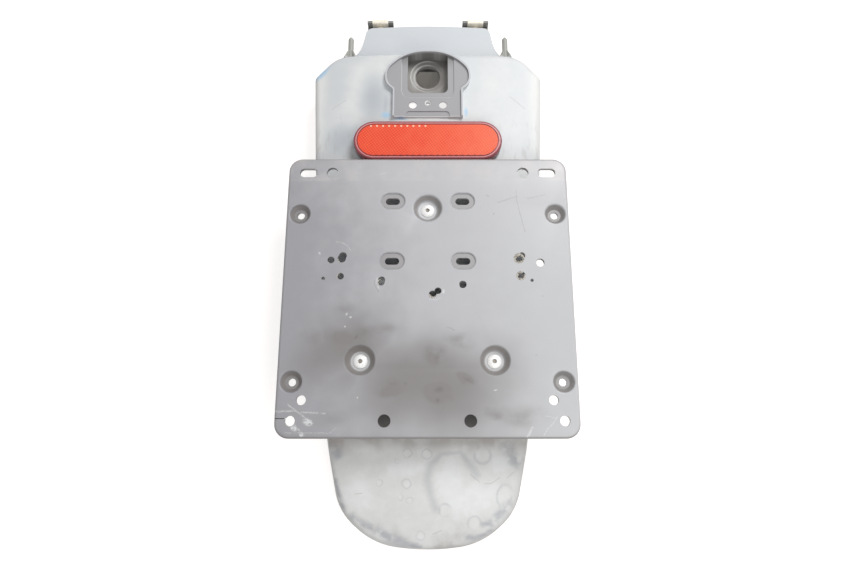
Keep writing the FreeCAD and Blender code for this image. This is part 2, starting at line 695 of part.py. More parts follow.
def plate_holder():
    """Sheet with dished seats, slots, moulded holes and drilled holes."""
    through = PLATE_THICKNESS + OVERRUN
    dishes, cuts = [], []
    for x in (-CORNER_DISH_X, CORNER_DISH_X):
        for z in (CORNER_DISH_TOP, CORNER_DISH_BOTTOM):
            seat, hollow = dish(x, z, CORNER_DISH_RIM, CORNER_DISH_FLOOR, CORNER_DISH_DEPTH)
            dishes.append(seat)
            cuts += [hollow, drum(x, z, CORNER_HOLE, CORNER_DISH_DEPTH, CORNER_DISH_DEPTH + DISH_WALL)]
    for x, z in RIVET_PLACES:
        seat, hollow = dish(x, z, RIVET_DISH_RIM, RIVET_DISH_FLOOR, RIVET_DISH_DEPTH)
        dishes.append(seat)
        cuts += [hollow, drum(x, z, RIVET_DIAMETER + RIVET_FIT, RIVET_DISH_DEPTH, BOSS_FACE)]
    for side in (-1, 1):
        slot_x = side * TOP_SLOT_X
        cuts.append(stadium(slot_x, TOP_ROW_Z, TOP_SLOT_LENGTH, TOP_SLOT_WIDTH, -OVERRUN, through))
        cuts.append(drum(side * TOP_HOLE_X, TOP_ROW_Z, TOP_HOLE, -OVERRUN, through))
        cuts.append(drum(side * LOW_HOLE_X, LOW_HOLE_Z, LOW_HOLE, -OVERRUN, through))
        cuts.append(drum(side * FOOT_HOLE_X, FOOT_ROW_Z, FOOT_HOLE, -OVERRUN, through))
        cuts.append(drum(side * DRAIN_HOLE_X, FOOT_ROW_Z, DRAIN_HOLE, -OVERRUN, through))
        for z in (MIDDLE_SLOT_TOP, MIDDLE_SLOT_BOTTOM):
            cuts += recessed_slot(side * MIDDLE_SLOT_X, z)
    for x, z, diameter in DRILLED_LEFT + DRILLED_RIGHT + DRILLED_MIDDLE:
        cuts.append(drum(x, z, diameter, -OVERRUN, through))
    return merged(plate_sheet(), dishes).cut(cuts + [crack()])


# Rivets

def rivet(x, z):
    """Set blind rivet: domed flange, shank and the bulb behind the boss."""
    bore = (MANDREL_DIAMETER + RIVET_FIT) / 2
    flange = RIVET_FLANGE / 2
    shank = RIVET_DIAMETER / 2
    bulb = RIVET_BULB / 2
    bulb_foot = RIVET_BULB_FOOT / 2
    seat = RIVET_DISH_DEPTH
    top = seat - RIVET_FLANGE_THICKNESS
    end = BOSS_FLOOR + RIVET_BULB_LENGTH
    shoulder = (bore + flange) / 2
    outline = [
        curve((bore, top), (shoulder, top + RIVET_DOME_FALL), (flange, seat - RIVET_RIM)),
        line((flange, seat - RIVET_RIM), (flange, seat)),
        line((flange, seat), (shank, seat)),
        line((shank, seat), (shank, BOSS_FLOOR)),
        line((shank, BOSS_FLOOR), (bulb_foot, BOSS_FLOOR)),
        curve((bulb_foot, BOSS_FLOOR), (bulb, BOSS_FLOOR + RIVET_BULB_MIDDLE), (shank, end)),
        line((shank, end), (bore, end)),
        line((bore, end), (bore, top)),
    ]
    return turned(x, z, outline)


def mandrel(x, z):
    """Broken mandrel that stays in a set rivet, with its head behind the bulb."""
    stem = MANDREL_DIAMETER / 2
    head = MANDREL_HEAD / 2
    top = RIVET_DISH_DEPTH - RIVET_FLANGE_THICKNESS + MANDREL_SINK
    seat = BOSS_FLOOR + RIVET_BULB_LENGTH
    end = seat + head
    slant = head * math.sin(math.pi / 4)
    outline = [
        line((0.0, top), (stem, top)),
        line((stem, top), (stem, seat)),
        line((stem, seat), (head, seat)),
        curve((head, seat), (slant, seat + slant), (0.0, end)),
        line((0.0, end), (0.0, top)),
    ]
    return turned(x, z, outline)


# Reflector

def reflector_bar(margin, front, back):
    """Bar of the reflector's outline, drawn in by a margin all round."""
    length = REFLECTOR_LENGTH - 2 * margin
    height = REFLECTOR_HEIGHT - 2 * margin
    return stadium(0.0, REFLECTOR_Z, length, height, front, back)


def reflector_lens():
    """Dish-shaped lens with a groove between its border and its field."""
    bar = reflector_bar(0.0, REFLECTOR_FRONT, LENS_BACK)
    front_edges = [edge for edge in bar.Edges if edge.BoundBox.YMax < REFLECTOR_FRONT + TINY]
    lens = bar.makeFillet(LENS_ROUND, front_edges)
    groove_floor = REFLECTOR_FRONT + LENS_GROOVE
    groove = reflector_bar(LENS_BORDER, REFLECTOR_FRONT, groove_floor)
    field = reflector_bar(LENS_BORDER + LENS_GROOVE, REFLECTOR_FRONT, groove_floor)
    hollow = reflector_bar(LENS_WALL, REFLECTOR_FRONT + LENS_FACE, LENS_BACK)
    return lens.cut([groove.cut(field), hollow])


def reflector_base():
    """Back plate that plugs into the lens and lies on the mudguard's seat."""
    plate = reflector_bar(0.0, LENS_BACK, REFLECTOR_SEAT)
    plug = reflector_bar(LENS_WALL + BASE_FIT, PLUG_FRONT, LENS_BACK)
    holes = [drum(x, z, STUD_DIAMETER + BASE_FIT, PLUG_FRONT, REFLECTOR_SEAT) for x, z in STUD_PLACES]
    return merged(plate, [plug]).cut(holes)


def stud(x, z):
    """Stud with a thin head, caught between lens and base."""
    head = drum(x, z, STUD_HEAD, PLUG_FRONT - STUD_HEAD_THICKNESS, PLUG_FRONT)
    shank = drum(x, z, STUD_DIAMETER, PLUG_FRONT, STUD_PAD_DEPTH + NUT_HEIGHT + STUD_END)
    return merged(head, [shank])


def flange_nut(x, z):
    """Six-sided nut with a round flange, seated on the pad inside the mudguard."""
    flange_back = STUD_PAD_DEPTH + NUT_FLANGE_THICKNESS
    back = STUD_PAD_DEPTH + NUT_HEIGHT
    reach = NUT_ACROSS_FLATS / 2 / math.cos(math.pi / 6)
    corners = []
    for i in range(6):
        angle = math.pi / 3 * i
        corners.append((x + reach * math.cos(angle), z + reach * math.sin(angle), 0.0))
    body = prism(corners, STUD_PAD_DEPTH, back)
    chamfer = taper(x, z, 2 * reach + 2 * NUT_HEIGHT, NUT_ACROSS_FLATS, STUD_PAD_DEPTH, back)
    flange = drum(x, z, NUT_FLANGE, STUD_PAD_DEPTH, flange_back)
    hole = drum(x, z, STUD_DIAMETER + BASE_FIT, STUD_PAD_DEPTH, back)
    return merged(body.common(chamfer), [flange]).cut(hole)


# Clip nuts

def clip_nut(x):
    """Folded sheet-metal clip on a tab, with a threaded barrel under its lower leg."""
    top = TAB_TOP_Z + CLIP_FIT
    bottom = CLIP_MOUTH_Z
    foot = bottom - CLIP_SHEET
    height = top + CLIP_SHEET - foot
    loop = NECK_FACE - CLIP_FIT
    front = loop - CLIP_SHEET
    fold = block(x, CLIP_WIDTH, front, CLIP_LOW_LEG, foot, height)
    face_edges_across = [
        edge for edge in fold.Edges
        if edge.BoundBox.YMax < front + TINY and edge.BoundBox.ZLength < TINY
    ]
    fold = fold.makeFillet(CLIP_FOLD_RADIUS, face_edges_across)
    gap = block(x, CLIP_WIDTH, loop, CLIP_LOW_LEG, bottom, top - bottom)
    trim = block(x, CLIP_WIDTH, front + CLIP_TOP_LEG, CLIP_LOW_LEG, bottom, height)
    low = Vector(x, CLIP_Y, foot - CLIP_BARREL_LENGTH)
    barrel = Part.makeCylinder(CLIP_BARREL / 2, CLIP_BARREL_LENGTH, low)
    thread = Part.makeCylinder(CLIP_THREAD / 2, CLIP_BARREL_LENGTH + CLIP_SHEET, low)
    entry = Part.makeCylinder(CLIP_TOP_HOLE / 2, CLIP_SHEET, Vector(x, CLIP_Y, top))
    return merged(fold.cut([gap, trim]), [barrel]).cut([thread, entry])


def main():
    """Build every piece and write it under its node's name."""
    os.makedirs("parts", exist_ok=True)
    save("mudguard", mudguard())
    save("plate_holder", plate_holder())
    save("plate_rivets", Part.makeCompound([rivet(x, z) for x, z in RIVET_PLACES]))
    save("rivet_mandrels", Part.makeCompound([mandrel(x, z) for x, z in RIVET_PLACES]))
    save("reflector_lens", reflector_lens())
    save("reflector_base", reflector_base())
    save("reflector_studs", Part.makeCompound([stud(x, z) for x, z in STUD_PLACES]))
    save("reflector_nuts", Part.makeCompound([flange_nut(x, z) for x, z in STUD_PLACES]))
    save("clip_nuts", Part.makeCompound([clip_nut(-TAB_X), clip_nut(TAB_X)]))


main()
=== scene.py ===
"""Worn rear mud flap of a scooter, with its number-plate holder and red reflector.

Lengths in the finishes and new pieces are millimetres in the plate frame: the origin is the middle of the
plate holder's front face, x runs to the right, y into the part and z up. Meshes are written in metres.
"""
import functools
import logging
import math
import random
from dataclasses import dataclass
from enum import Enum
from typing import Any, Iterable, Mapping, Optional, Sequence, Union

import bmesh
import bpy
from mathutils import Matrix, Vector


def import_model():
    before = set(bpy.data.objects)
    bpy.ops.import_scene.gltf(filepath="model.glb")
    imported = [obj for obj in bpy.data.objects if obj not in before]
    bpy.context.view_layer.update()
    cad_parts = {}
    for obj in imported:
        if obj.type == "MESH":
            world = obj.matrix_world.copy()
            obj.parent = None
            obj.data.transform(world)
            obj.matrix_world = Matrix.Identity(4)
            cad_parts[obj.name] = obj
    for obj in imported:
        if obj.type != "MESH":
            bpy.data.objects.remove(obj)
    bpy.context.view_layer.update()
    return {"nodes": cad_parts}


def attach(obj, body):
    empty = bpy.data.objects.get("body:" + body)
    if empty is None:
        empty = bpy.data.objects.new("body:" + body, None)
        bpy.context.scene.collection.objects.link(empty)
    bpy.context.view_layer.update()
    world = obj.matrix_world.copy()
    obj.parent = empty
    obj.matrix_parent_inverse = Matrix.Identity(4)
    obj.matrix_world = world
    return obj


LOG = logging.getLogger("mud_flap")

# Where the plate frame lies in the part's own frame
MM = 0.001
PLATE_ORIGIN = Vector((0.0, 30.4, 219.9))

# Scale along the depth at which a mark on a face ignores the depth
FAR = 1.0e6

# Middle of the values of a cloudy pattern
MEAN = 0.5

# Stretch of a cloudy pattern that is equally fine along all axes
EVEN = (1.0, 1.0, 1.0)

# Distance in metres up to which the corners of a solid's triangles are one point
WELD_REACH = 1e-6

Colour = tuple[float, float, float]
Place = tuple[float, float]

# Two values between which a mask rises from 0 to 1
Ramp = tuple[float, float]

# Colours that several finishes of the mudguard share
# Pale bloom, also used as painted light in the lamp seat
BLOOM_AND_LIGHT: Colour = (0.76, 0.77, 0.765)
# Grime, also used as painted shadow below the plate holder's foot
GRIME_AND_SHADOW: Colour = (0.35, 0.32, 0.30)
# Dark tone used as painted shade in recesses and behind holes
DARK: Colour = (0.11, 0.105, 0.10)


def in_part(x: float, y: float, z: float) -> Vector:
    """Place in the part's frame, in metres, of a place in the plate frame, in millimetres."""
    return (Vector((x, y, z)) - PLATE_ORIGIN) * MM


class Value:
    """Output of a shader node, with arithmetic that adds Math nodes."""

    def __init__(self, maker: "NodeMaker", socket: bpy.types.NodeSocket) -> None:
        """Keep the socket and the maker of the tree that it belongs to."""
        self.maker = maker
        self.socket = socket

    def other(self, output: Union[int, str]) -> "Value":
        """Another output of the same node."""
        return Value(self.maker, self.socket.node.outputs[output])

    def math(self, operation: str, *others: "Operand") -> "Value":
        """Add a Math node with this value first and the others after it."""
        return self.maker.math(operation, self, *others)

    def __add__(self, other: "Operand") -> "Value":
        """Sum."""
        return self.math("ADD", other)

    __radd__ = __add__

    def __sub__(self, other: "Operand") -> "Value":
        """Difference."""
        return self.math("SUBTRACT", other)

    def __rsub__(self, other: float) -> "Value":
        """Difference from a number."""
        return self.maker.math("SUBTRACT", other, self)

    def __mul__(self, other: "Operand") -> "Value":
        """Product."""
        return self.math("MULTIPLY", other)

    __rmul__ = __mul__

    def __truediv__(self, other: "Operand") -> "Value":
        """Quotient."""
        return self.math("DIVIDE", other)

    def __rtruediv__(self, other: float) -> "Value":
        """Quotient of a number."""
        return self.maker.math("DIVIDE", other, self)

    def __or__(self, other: "Operand") -> "Value":
        """Larger of two masks."""
        return self.math("MAXIMUM", other)

    __ror__ = __or__

    def __abs__(self) -> "Value":
        """Distance from 0."""
        return self.math("ABSOLUTE")

    def rise(self, ramp: Ramp) -> "Value":
        """Mask that rises smoothly from 0 at a ramp's first value to 1 at its second.

        Args:
            ramp: The two values, of which the second may be the smaller one.

        Returns:
            The mask.
        """
        low, high = ramp
        settings = {"interpolation_type": "SMOOTHSTEP"}
        return self.maker.node("ShaderNodeMapRange", settings, {0: self, 1: low, 2: high})

    def clamp(self) -> "Value":
        """Limit to between 0 and 1."""
        return self.maker.node("ShaderNodeClamp", inputs={0: self})


Operand = Union[Value, float]


@dataclass(frozen=True)
class Spot:
    """Oval place on the face of a piece, turned by some degrees."""

    x: float
    z: float
    width: float
    height: float
    turn: float = 0.0


@dataclass(frozen=True)
class Marks:
    """Spots of one kind, whose edges fade over a share of their radius."""

    softness: float
    spots: tuple[Spot, ...]


@dataclass(frozen=True)
class Stroke:
    """Straight mark on the face of a piece."""

    start: Place
    end: Place
    width: float


@dataclass(frozen=True)
class Lines:
    """Strokes of one kind, whose edges fade over a share of their half width."""

    softness: float
    strokes: tuple[Stroke, ...]


def trail(widths: Sequence[float], *points: Place) -> tuple[Stroke, ...]:
    """Strokes from each point to the next, each with its own width."""
    return tuple(map(Stroke, points, points[1:], widths))


@dataclass(frozen=True)
class Cloud:
    """Cloudy pattern that a ramp can cut to patches.

    Its size is the breadth of a cloud, its detail the number of finer layers, and its stretch says how much
    finer it is along each axis.
    """

    size: float
    detail: float
    ramp: Ramp = (0.0, 1.0)
    stretch: tuple[float, float, float] = EVEN


@dataclass(frozen=True)
class Wander:
    """Wandering of the edges of marks, with its breadth and how far it goes."""

    size: float
    reach: float
    detail: float = 2.0


class NodeMaker:
    """Adds nodes to the tree of a material or a world."""

    def __init__(self, tree: bpy.types.NodeTree) -> None:
        """Keep the tree."""
        self.tree = tree

    def node(self, kind: str, settings: Optional[Mapping[str, Any]] = None,
             inputs: Optional[Mapping[Any, Any]] = None, output: Union[int, str] = 0) -> Value:
        """Add a node.

        Args:
            kind: Type of the node.
            settings: Properties of the node, set before its sockets.
            inputs: Values or links by socket name or number.
            output: Name or number of the output that is wanted.

        Returns:
            That output.
        """
        node = self.tree.nodes.new(kind)
        for key, setting in (settings or {}).items():
            setattr(node, key, setting)
        for key, content in (inputs or {}).items():
            self.feed(node.inputs[key], content)
        return Value(self, node.outputs[output])

    def feed(self, socket: bpy.types.NodeSocket, content: Any) -> None:
        """Link a value to a socket, or set a plain one on it.

        Args:
            socket: The socket.
            content: A value of this tree, a colour, a vector or a number.
        """
        if isinstance(content, Value):
            self.tree.links.new(content.socket, socket)
        elif socket.type == "RGBA":
            socket.default_value = (*content, 1.0)
        else:
            socket.default_value = content

    def math(self, operation: str, *operands: Operand) -> Value:
        """Add a Math node."""
        return self.node("ShaderNodeMath", {"operation": operation}, dict(enumerate(operands)))

    def vector(self, operation: str, *operands: Any, output: str = "Vector") -> Value:
        """Add a Vector Math node."""
        return self.node("ShaderNodeVectorMath", {"operation": operation}, dict(enumerate(operands)), output)


class Graph(NodeMaker):
    """Node tree of one material, with the place on the part in the plate frame."""

    def __init__(self, name: str) -> None:
        """Start a material with a Principled shader.

        Args:
            name: Name of the material.
        """
        self.material = bpy.data.materials.new(name)
        self.material.use_nodes = True
        super().__init__(self.material.node_tree)
        self.shader = self.tree.nodes["Principled BSDF"]
        coordinates = self.node("ShaderNodeTexCoord", output="Object")
        scale = (1 / MM, 1 / MM, 1 / MM)
        self.place = self.vector("MULTIPLY_ADD", coordinates, scale, PLATE_ORIGIN)
        self.x, self.y, self.z = self.split(self.place)

    def split(self, vector: Value) -> tuple[Value, Value, Value]:
        """Parts of a vector along x, y and z."""
        first = self.node("ShaderNodeSeparateXYZ", inputs={0: vector})
        return first, first.other(1), first.other(2)

    def noise(self, cloud: Cloud, output: str = "Fac") -> Value:
        """Cloudy pattern before it is cut to patches.

        Args:
            cloud: The pattern's sizes.
            output: Fac for a number or Color for three at once.

        Returns:
            The pattern, about 0.5 on average.
        """
        where = self.place
        if cloud.stretch != EVEN:
            where = self.vector("MULTIPLY", where, cloud.stretch)
        inputs = {"Vector": where, "Scale": 1 / cloud.size, "Detail": cloud.detail}
        return self.node("ShaderNodeTexNoise", inputs=inputs, output=output)

    def patches(self, cloud: Cloud) -> Value:
        """Mask of the patches of a cloudy pattern."""
        return self.noise(cloud).rise(cloud.ramp)

    def wobble(self, wander: Wander) -> Value:
        """Place that wanders, so that what is drawn on it has uneven edges.

        Args:
            wander: Breadth and reach of the wandering.

        Returns:
            The place as a vector.
        """
        cloud = self.noise(Cloud(wander.size, wander.detail), "Color")
        centred = self.vector("SUBTRACT", cloud, (MEAN, MEAN, MEAN))
        amount = (wander.reach, wander.reach, wander.reach)
        return self.vector("MULTIPLY_ADD", centred, amount, self.place)

    def mix(self, first: Union[Value, Colour], second: Union[Value, Colour], share: Operand) -> Value:
        """Mix two colours.

        Args:
            first: Colour where the share is 0.
            second: Colour where the share is 1.
            share: Mask.

        Returns:
            The mixed colour.
        """
        return self.node("ShaderNodeMix", {"data_type": "RGBA"}, {0: share, 6: first, 7: second}, 2)

    def local(self, place: Optional[Value], middle: Place, half_size: Place, turn: float) -> Value:
        """Place measured from a point on the face, along turned and scaled axes.

        Args:
            place: Where it is read; the piece's own place if left out.
            middle: The point on the face.
            half_size: Lengths that count as 1 along and across.
            turn: Angle of the axes in degrees.

        Returns:
            The place as a vector.
        """
        inputs = {
            "Vector": place or self.place,
            "Location": (middle[0], 0.0, middle[1]),
            "Rotation": (0.0, math.radians(turn), 0.0),
            "Scale": (half_size[0], FAR, half_size[1]),
        }
        return self.node("ShaderNodeMapping", {"vector_type": "TEXTURE"}, inputs)

    def reach(self, spot: Spot, place: Optional[Value] = None) -> Value:
        """Distance from a spot's middle, which is 1 on its edge.

        Args:
            spot: The spot.
            place: Where it is read; the piece's own place if left out.

        Returns:
            The distance.
        """
        half_size = (spot.width / 2, spot.height / 2)
        here = self.local(place, (spot.x, spot.z), half_size, spot.turn)
        return self.vector("LENGTH", here, output="Value")

    def beside(self, stroke: Stroke, place: Optional[Value] = None) -> Value:
        """Distance from a stroke's middle line, which is 1 on its edge.

        Args:
            stroke: The stroke.
            place: Where it is read; the piece's own place if left out.

        Returns:
            The distance.
        """
        run = stroke.end[0] - stroke.start[0]
        climb = stroke.end[1] - stroke.start[1]
        middle = (stroke.start[0] + run / 2, stroke.start[1] + climb / 2)
        half_width = stroke.width / 2
        half_length = math.hypot(run, climb) / stroke.width
        turn = -math.degrees(math.atan2(climb, run))
        here = self.local(place, middle, (half_width, half_width), turn)
        past = self.vector("SUBTRACT", self.vector("ABSOLUTE", here), (half_length, 0.0, 0.0))
        outside = self.vector("MAXIMUM", past, (0.0, 0.0, 0.0))
        return self.vector("LENGTH", outside, output="Value")

    def nearest(self, distances: Iterable[Value]) -> Value:
        """Smallest of several distances at each place."""
        return functools.reduce(lambda first, second: first.math("MINIMUM", second), distances)

    def spots(self, marks: Marks, place: Optional[Value] = None) -> Value:
        """Mask that is 1 inside any of several spots.

        Args:
            marks: The spots and their softness.
            place: Where they are read; the piece's own place if left out.

        Returns:
            The mask.
        """
        distance = self.nearest(self.reach(spot, place) for spot in marks.spots)
        return distance.rise((1.0, 1.0 - marks.softness))

    def strokes(self, lines: Lines, place: Optional[Value] = None) -> Value:
        """Mask that is 1 on several strokes.

        Args:
            lines: The strokes and their softness.
            place: Where they are read; the piece's own place if left out.

        Returns:
            The mask.
        """
        distance = self.nearest(self.beside(stroke, place) for stroke in lines.strokes)
        return distance.rise((1.0, 1.0 - lines.softness))

    def rings(self, spots: Sequence[Spot], breadth: float, place: Optional[Value] = None) -> Value:
        """Mask that is 1 on the edges of several spots.

        Args:
            spots: The spots.
            breadth: Half width of a ring as a share of its radius.
            place: Where they are read; the piece's own place if left out.

        Returns:
            The mask.
        """
        offset = self.nearest(abs(self.reach(spot, place) - 1.0) for spot in spots)
        return offset.rise((breadth, 0.0))

    def bump(self, height: Value, distance: float) -> Value:
        """Normal from a height pattern, whose value of 1 stands for a distance in millimetres."""
        return self.node("ShaderNodeBump", inputs={"Distance": distance * MM, "Height": height})

    def finish(self, **sockets: Any) -> bpy.types.Material:
        """Feed the Principled shader.

        Args:
            sockets: Content of each socket by its name, with _ for a space.

        Returns:
            The finished material.
        """
        for name, content in sockets.items():
            self.feed(self.shader.inputs[name.replace("_", " ")], content)
        return self.material


@dataclass(frozen=True)
class FrontFace:
    """Crowned front of the mudguard, which leans forward and bends back towards the flap."""

    depth_at_bend: float = 18.0
    bend_z: float = -50.0
    bend_radius: float = 350.0
    crown_radius: float = 670.0
    lean: float = 6.0 / 236.0
    skin: Ramp = (2.0, 1.0)

    def mask(self, graph: Graph) -> Value:
        """Mask of the front face and what stands on it, without the inner face behind it.

        Args:
            graph: Node tree of the material.

        Returns:
            The mask.
        """
        down = self.bend_z - graph.z
        below = down.math("MAXIMUM", 0.0)
        bend = below * below / (2 * self.bend_radius)
        crown = graph.x * graph.x / (2 * self.crown_radius)
        depth = graph.y - (self.depth_at_bend + down * self.lean + bend + crown)
        return depth.rise(self.skin)


@dataclass(frozen=True)
class OpenFaces:
    """Tones of the outer and inner faces before any marks, with painted light on the shoulders' edges and behind
    the neck.
    """

    bare: Colour = (0.63, 0.65, 0.665)
    flap: Colour = (0.66, 0.66, 0.645)
    flap_z: Ramp = (-50.0, -98.0)
    # Painted light on the outer edges of the shoulders
    edge: Colour = (0.82, 0.82, 0.79)
    edge_light_x: Ramp = (70.0, 84.0)
    edge_light_z: Ramp = (100.0, 112.0)
    edge_light_share: float = 0.8
    neck: Colour = (0.60, 0.63, 0.66)
    neck_y: Ramp = (22.5, 23.5)
    neck_z: Ramp = (187.0, 189.0)
    neck_share: float = 0.85
    dirt: Cloud = Cloud(24.0, 5.0, (0.4, 0.7))
    dirt_y: Ramp = (30.0, 40.0)
    dirt_share: float = 0.5
    # Painted light on the far wall behind the neck, seen through the lamp's bore, and painted shade at the
    # neck's mouth above it
    neck_back_light: Colour = (0.80, 0.755, 0.69)
    neck_back_y: Ramp = (36.0, 40.0)
    neck_back_end: Ramp = (43.6, 43.2)
    neck_back_z: Ramp = (160.0, 170.0)
    neck_mouth_shade_z: Ramp = (188.4, 189.4)

    def colour(self, graph: Graph, bloom: Value) -> Value:
        """Colour of the faces.

        Args:
            graph: Node tree of the material.
            bloom: Mask of the pale bloom.

        Returns:
            The colour.
        """
        colour = graph.mix(self.bare, BLOOM_AND_LIGHT, bloom)
        colour = graph.mix(colour, self.flap, graph.z.rise(self.flap_z))
        # Painted light on the outer edges of the shoulders
        edges = abs(graph.x).rise(self.edge_light_x) * graph.z.rise(self.edge_light_z)
        colour = graph.mix(colour, self.edge, edges * self.edge_light_share)
        neck = graph.z.rise(self.neck_z) * graph.y.rise(self.neck_y)
        colour = graph.mix(colour, self.neck, neck * self.neck_share)
        dirt = graph.patches(self.dirt) * graph.y.rise(self.dirt_y)
        colour = graph.mix(colour, GRIME_AND_SHADOW, dirt * self.dirt_share)
        # Painted light on the wall behind the neck, and painted shade at its mouth
        behind = graph.y.rise(self.neck_back_y) * graph.z.rise(self.neck_back_z)
        seen = graph.mix(self.neck_back_light, DARK, graph.z.rise(self.neck_mouth_shade_z))
        return graph.mix(colour, seen, behind * graph.y.rise(self.neck_back_end))


@dataclass(frozen=True)
class FlapMarks:
    """Dried water, drops and mud on the flap's front, with painted shadow and shade below the plate holder."""

    flap_z: Ramp = (-85.0, -100.0)
    wet: Colour = (0.43, 0.435, 0.455)
    broken: Cloud = Cloud(7.0, 3.0, (0.30, 0.60))
    ragged: Wander = Wander(3.2, 1.8)
    mottle: Cloud = Cloud(4.5, 4.0, (0.36, 0.64))
    mottle_share: float = 0.22
    haze: Cloud = Cloud(11.0, 5.0, (0.42, 0.62))
    haze_share: float = 0.2
    drops: Marks = Marks(0.6, (
        Spot(35.5, -103.9, 10.5, 10.5),
        Spot(11.1, -138.2, 7.6, 8.4),
        Spot(30.1, -146.5, 8.6, 9.4),
        Spot(49.7, -128.9, 9.2, 14.5, 12.0),
        Spot(-13.0, -102.5, 5.8, 5.6),
        Spot(-0.5, -103.0, 6.4, 6.0),
        Spot(-19.5, -107.6, 2.8, 2.8),
        Spot(-13.5, -121.5, 5.8, 5.8),
        Spot(-17.5, -129.8, 3.4, 3.8),
        Spot(-11.5, -131.8, 4.2, 4.2),
        Spot(-4.5, -154.0, 5.4, 5.6),
        Spot(-31.0, -121.0, 3.8, 4.2),
    ))
    drop_share: float = 0.5
    drop_rim_breadth: float = 0.30
    drop_rim_share: float = 0.42
    pale_areas: Marks = Marks(0.7, (
        Spot(14.5, -119.0, 24.0, 42.0, 6.0),
        Spot(30.0, -132.0, 54.0, 30.0, -14.0),
        Spot(-44.0, -129.0, 26.0, 34.0, -20.0),
        Spot(-14.0, -112.0, 38.0, 15.0, -10.0),
        Spot(47.0, -109.0, 20.0, 14.0),
    ))
    pale_share: float = 0.6
    streams: Lines = Lines(1.0, (
        *trail((7.0, 9.0, 9.4), (8.0, -103.8), (1.5, -110.5), (-0.4, -118.8), (1.5, -127.1)),
        Stroke((1.5, -127.1), (5.0, -137.0), 9.0),
        *trail((4.6, 6.4, 9.0), (8.5, -103.2), (21.0, -101.8), (26.6, -108.6), (31.5, -116.0)),
    ))
    stream_share: float = 0.5
    edge_bands: Lines = Lines(1.0, (
        Stroke((-62.0, -94.0), (-58.5, -103.0), 13.0),
        Stroke((-60.0, -120.0), (-55.0, -138.0), 7.0),
        *trail((8.5, 9.5, 11.5), (-48.5, -142.0), (-42.2, -146.7), (-33.4, -151.1), (-24.1, -155.0)),
        *trail((11.0, 7.0), (-24.1, -155.0), (-14.9, -158.2), (-5.8, -160.6)),
        *trail((8.0, 6.0), (20.0, -155.6), (30.0, -155.2), (41.0, -151.2)),
        *trail((6.0, 10.0, 10.0), (35.0, -147.8), (41.0, -146.1), (46.0, -141.1), (52.5, -134.5)),
        Stroke((51.0, -97.0), (57.0, -107.0), 17.0),
    ))
    # Painted shadow of the plate holder's foot along the top of the flap, in a muddy tone
    foot_shadow_top: Ramp = (-70.0, -94.0)
    foot_shadow_z: Ramp = (-102.0, -95.0)
    foot_shadow_share: float = 0.35
    shadow_lobes: Cloud = Cloud(15.0, 3.0, (0.36, 0.60))
    shadow_lobe_z: Ramp = (-107.0, -95.0)
    shadow_lobe_share: float = 0.4
    # Painted shade with some soil, where the drain holes show the face behind the plate
    drain_shade_and_soil: Marks = Marks(0.4, (
        Spot(-29.0, -83.0, 20.0, 18.0),
        Spot(29.0, -83.0, 20.0, 18.0),
    ))
    drain_shade_share: float = 0.9

    def lay(self, graph: Graph, colour: Value, uneven: Value, front: Value) -> Value:
        """Lay the marks of water over a colour, and the painted shadow, mud and painted shade over them.

        Args:
            graph: Node tree of the material.
            colour: Colour below the marks.
            uneven: Place with uneven edges.
            front: Mask of the front face.

        Returns:
            The colour with the marks.
        """
        flap = graph.z.rise(self.flap_z) * front
        broken = graph.patches(self.broken)
        ragged = graph.wobble(self.ragged)
        pale = graph.spots(self.pale_areas, uneven) | graph.spots(self.drops, ragged) * self.drop_share
        pale = pale * self.pale_share + graph.patches(self.mottle) * self.mottle_share
        pale = pale + graph.patches(self.haze) * self.haze_share
        colour = graph.mix(colour, BLOOM_AND_LIGHT, pale.clamp() * flap)
        bands = graph.strokes(self.edge_bands, uneven) * broken
        damp = bands | graph.strokes(self.streams, ragged) * self.stream_share
        colour = graph.mix(colour, self.wet, damp * flap)
        rims = graph.rings(self.drops.spots, self.drop_rim_breadth, ragged) * broken
        colour = graph.mix(colour, self.wet, rims * flap * self.drop_rim_share)
        return self.mud(graph, colour, uneven, front)

    def mud(self, graph: Graph, colour: Value, uneven: Value, front: Value) -> Value:
        """Lay painted shadow below the plate holder's foot and painted shade with soil behind its drain holes.

        Args:
            graph: Node tree of the material.
            colour: Colour below the painted shadow.
            uneven: Place with uneven edges.
            front: Mask of the front face.

        Returns:
            The colour with the painted shadow and shade.
        """
        # Painted shadow below the plate holder's foot, in a muddy tone
        shadow_lobes = graph.z.rise(self.shadow_lobe_z) * graph.patches(self.shadow_lobes)
        mud = graph.z.rise(self.foot_shadow_z) * self.foot_shadow_share + shadow_lobes * self.shadow_lobe_share
        colour = graph.mix(colour, GRIME_AND_SHADOW, mud * graph.z.rise(self.foot_shadow_top) * front)
        # Painted shade with some soil behind the drain holes
        soil = graph.spots(self.drain_shade_and_soil, uneven) * front
        return graph.mix(colour, DARK, soil * self.drain_shade_share)


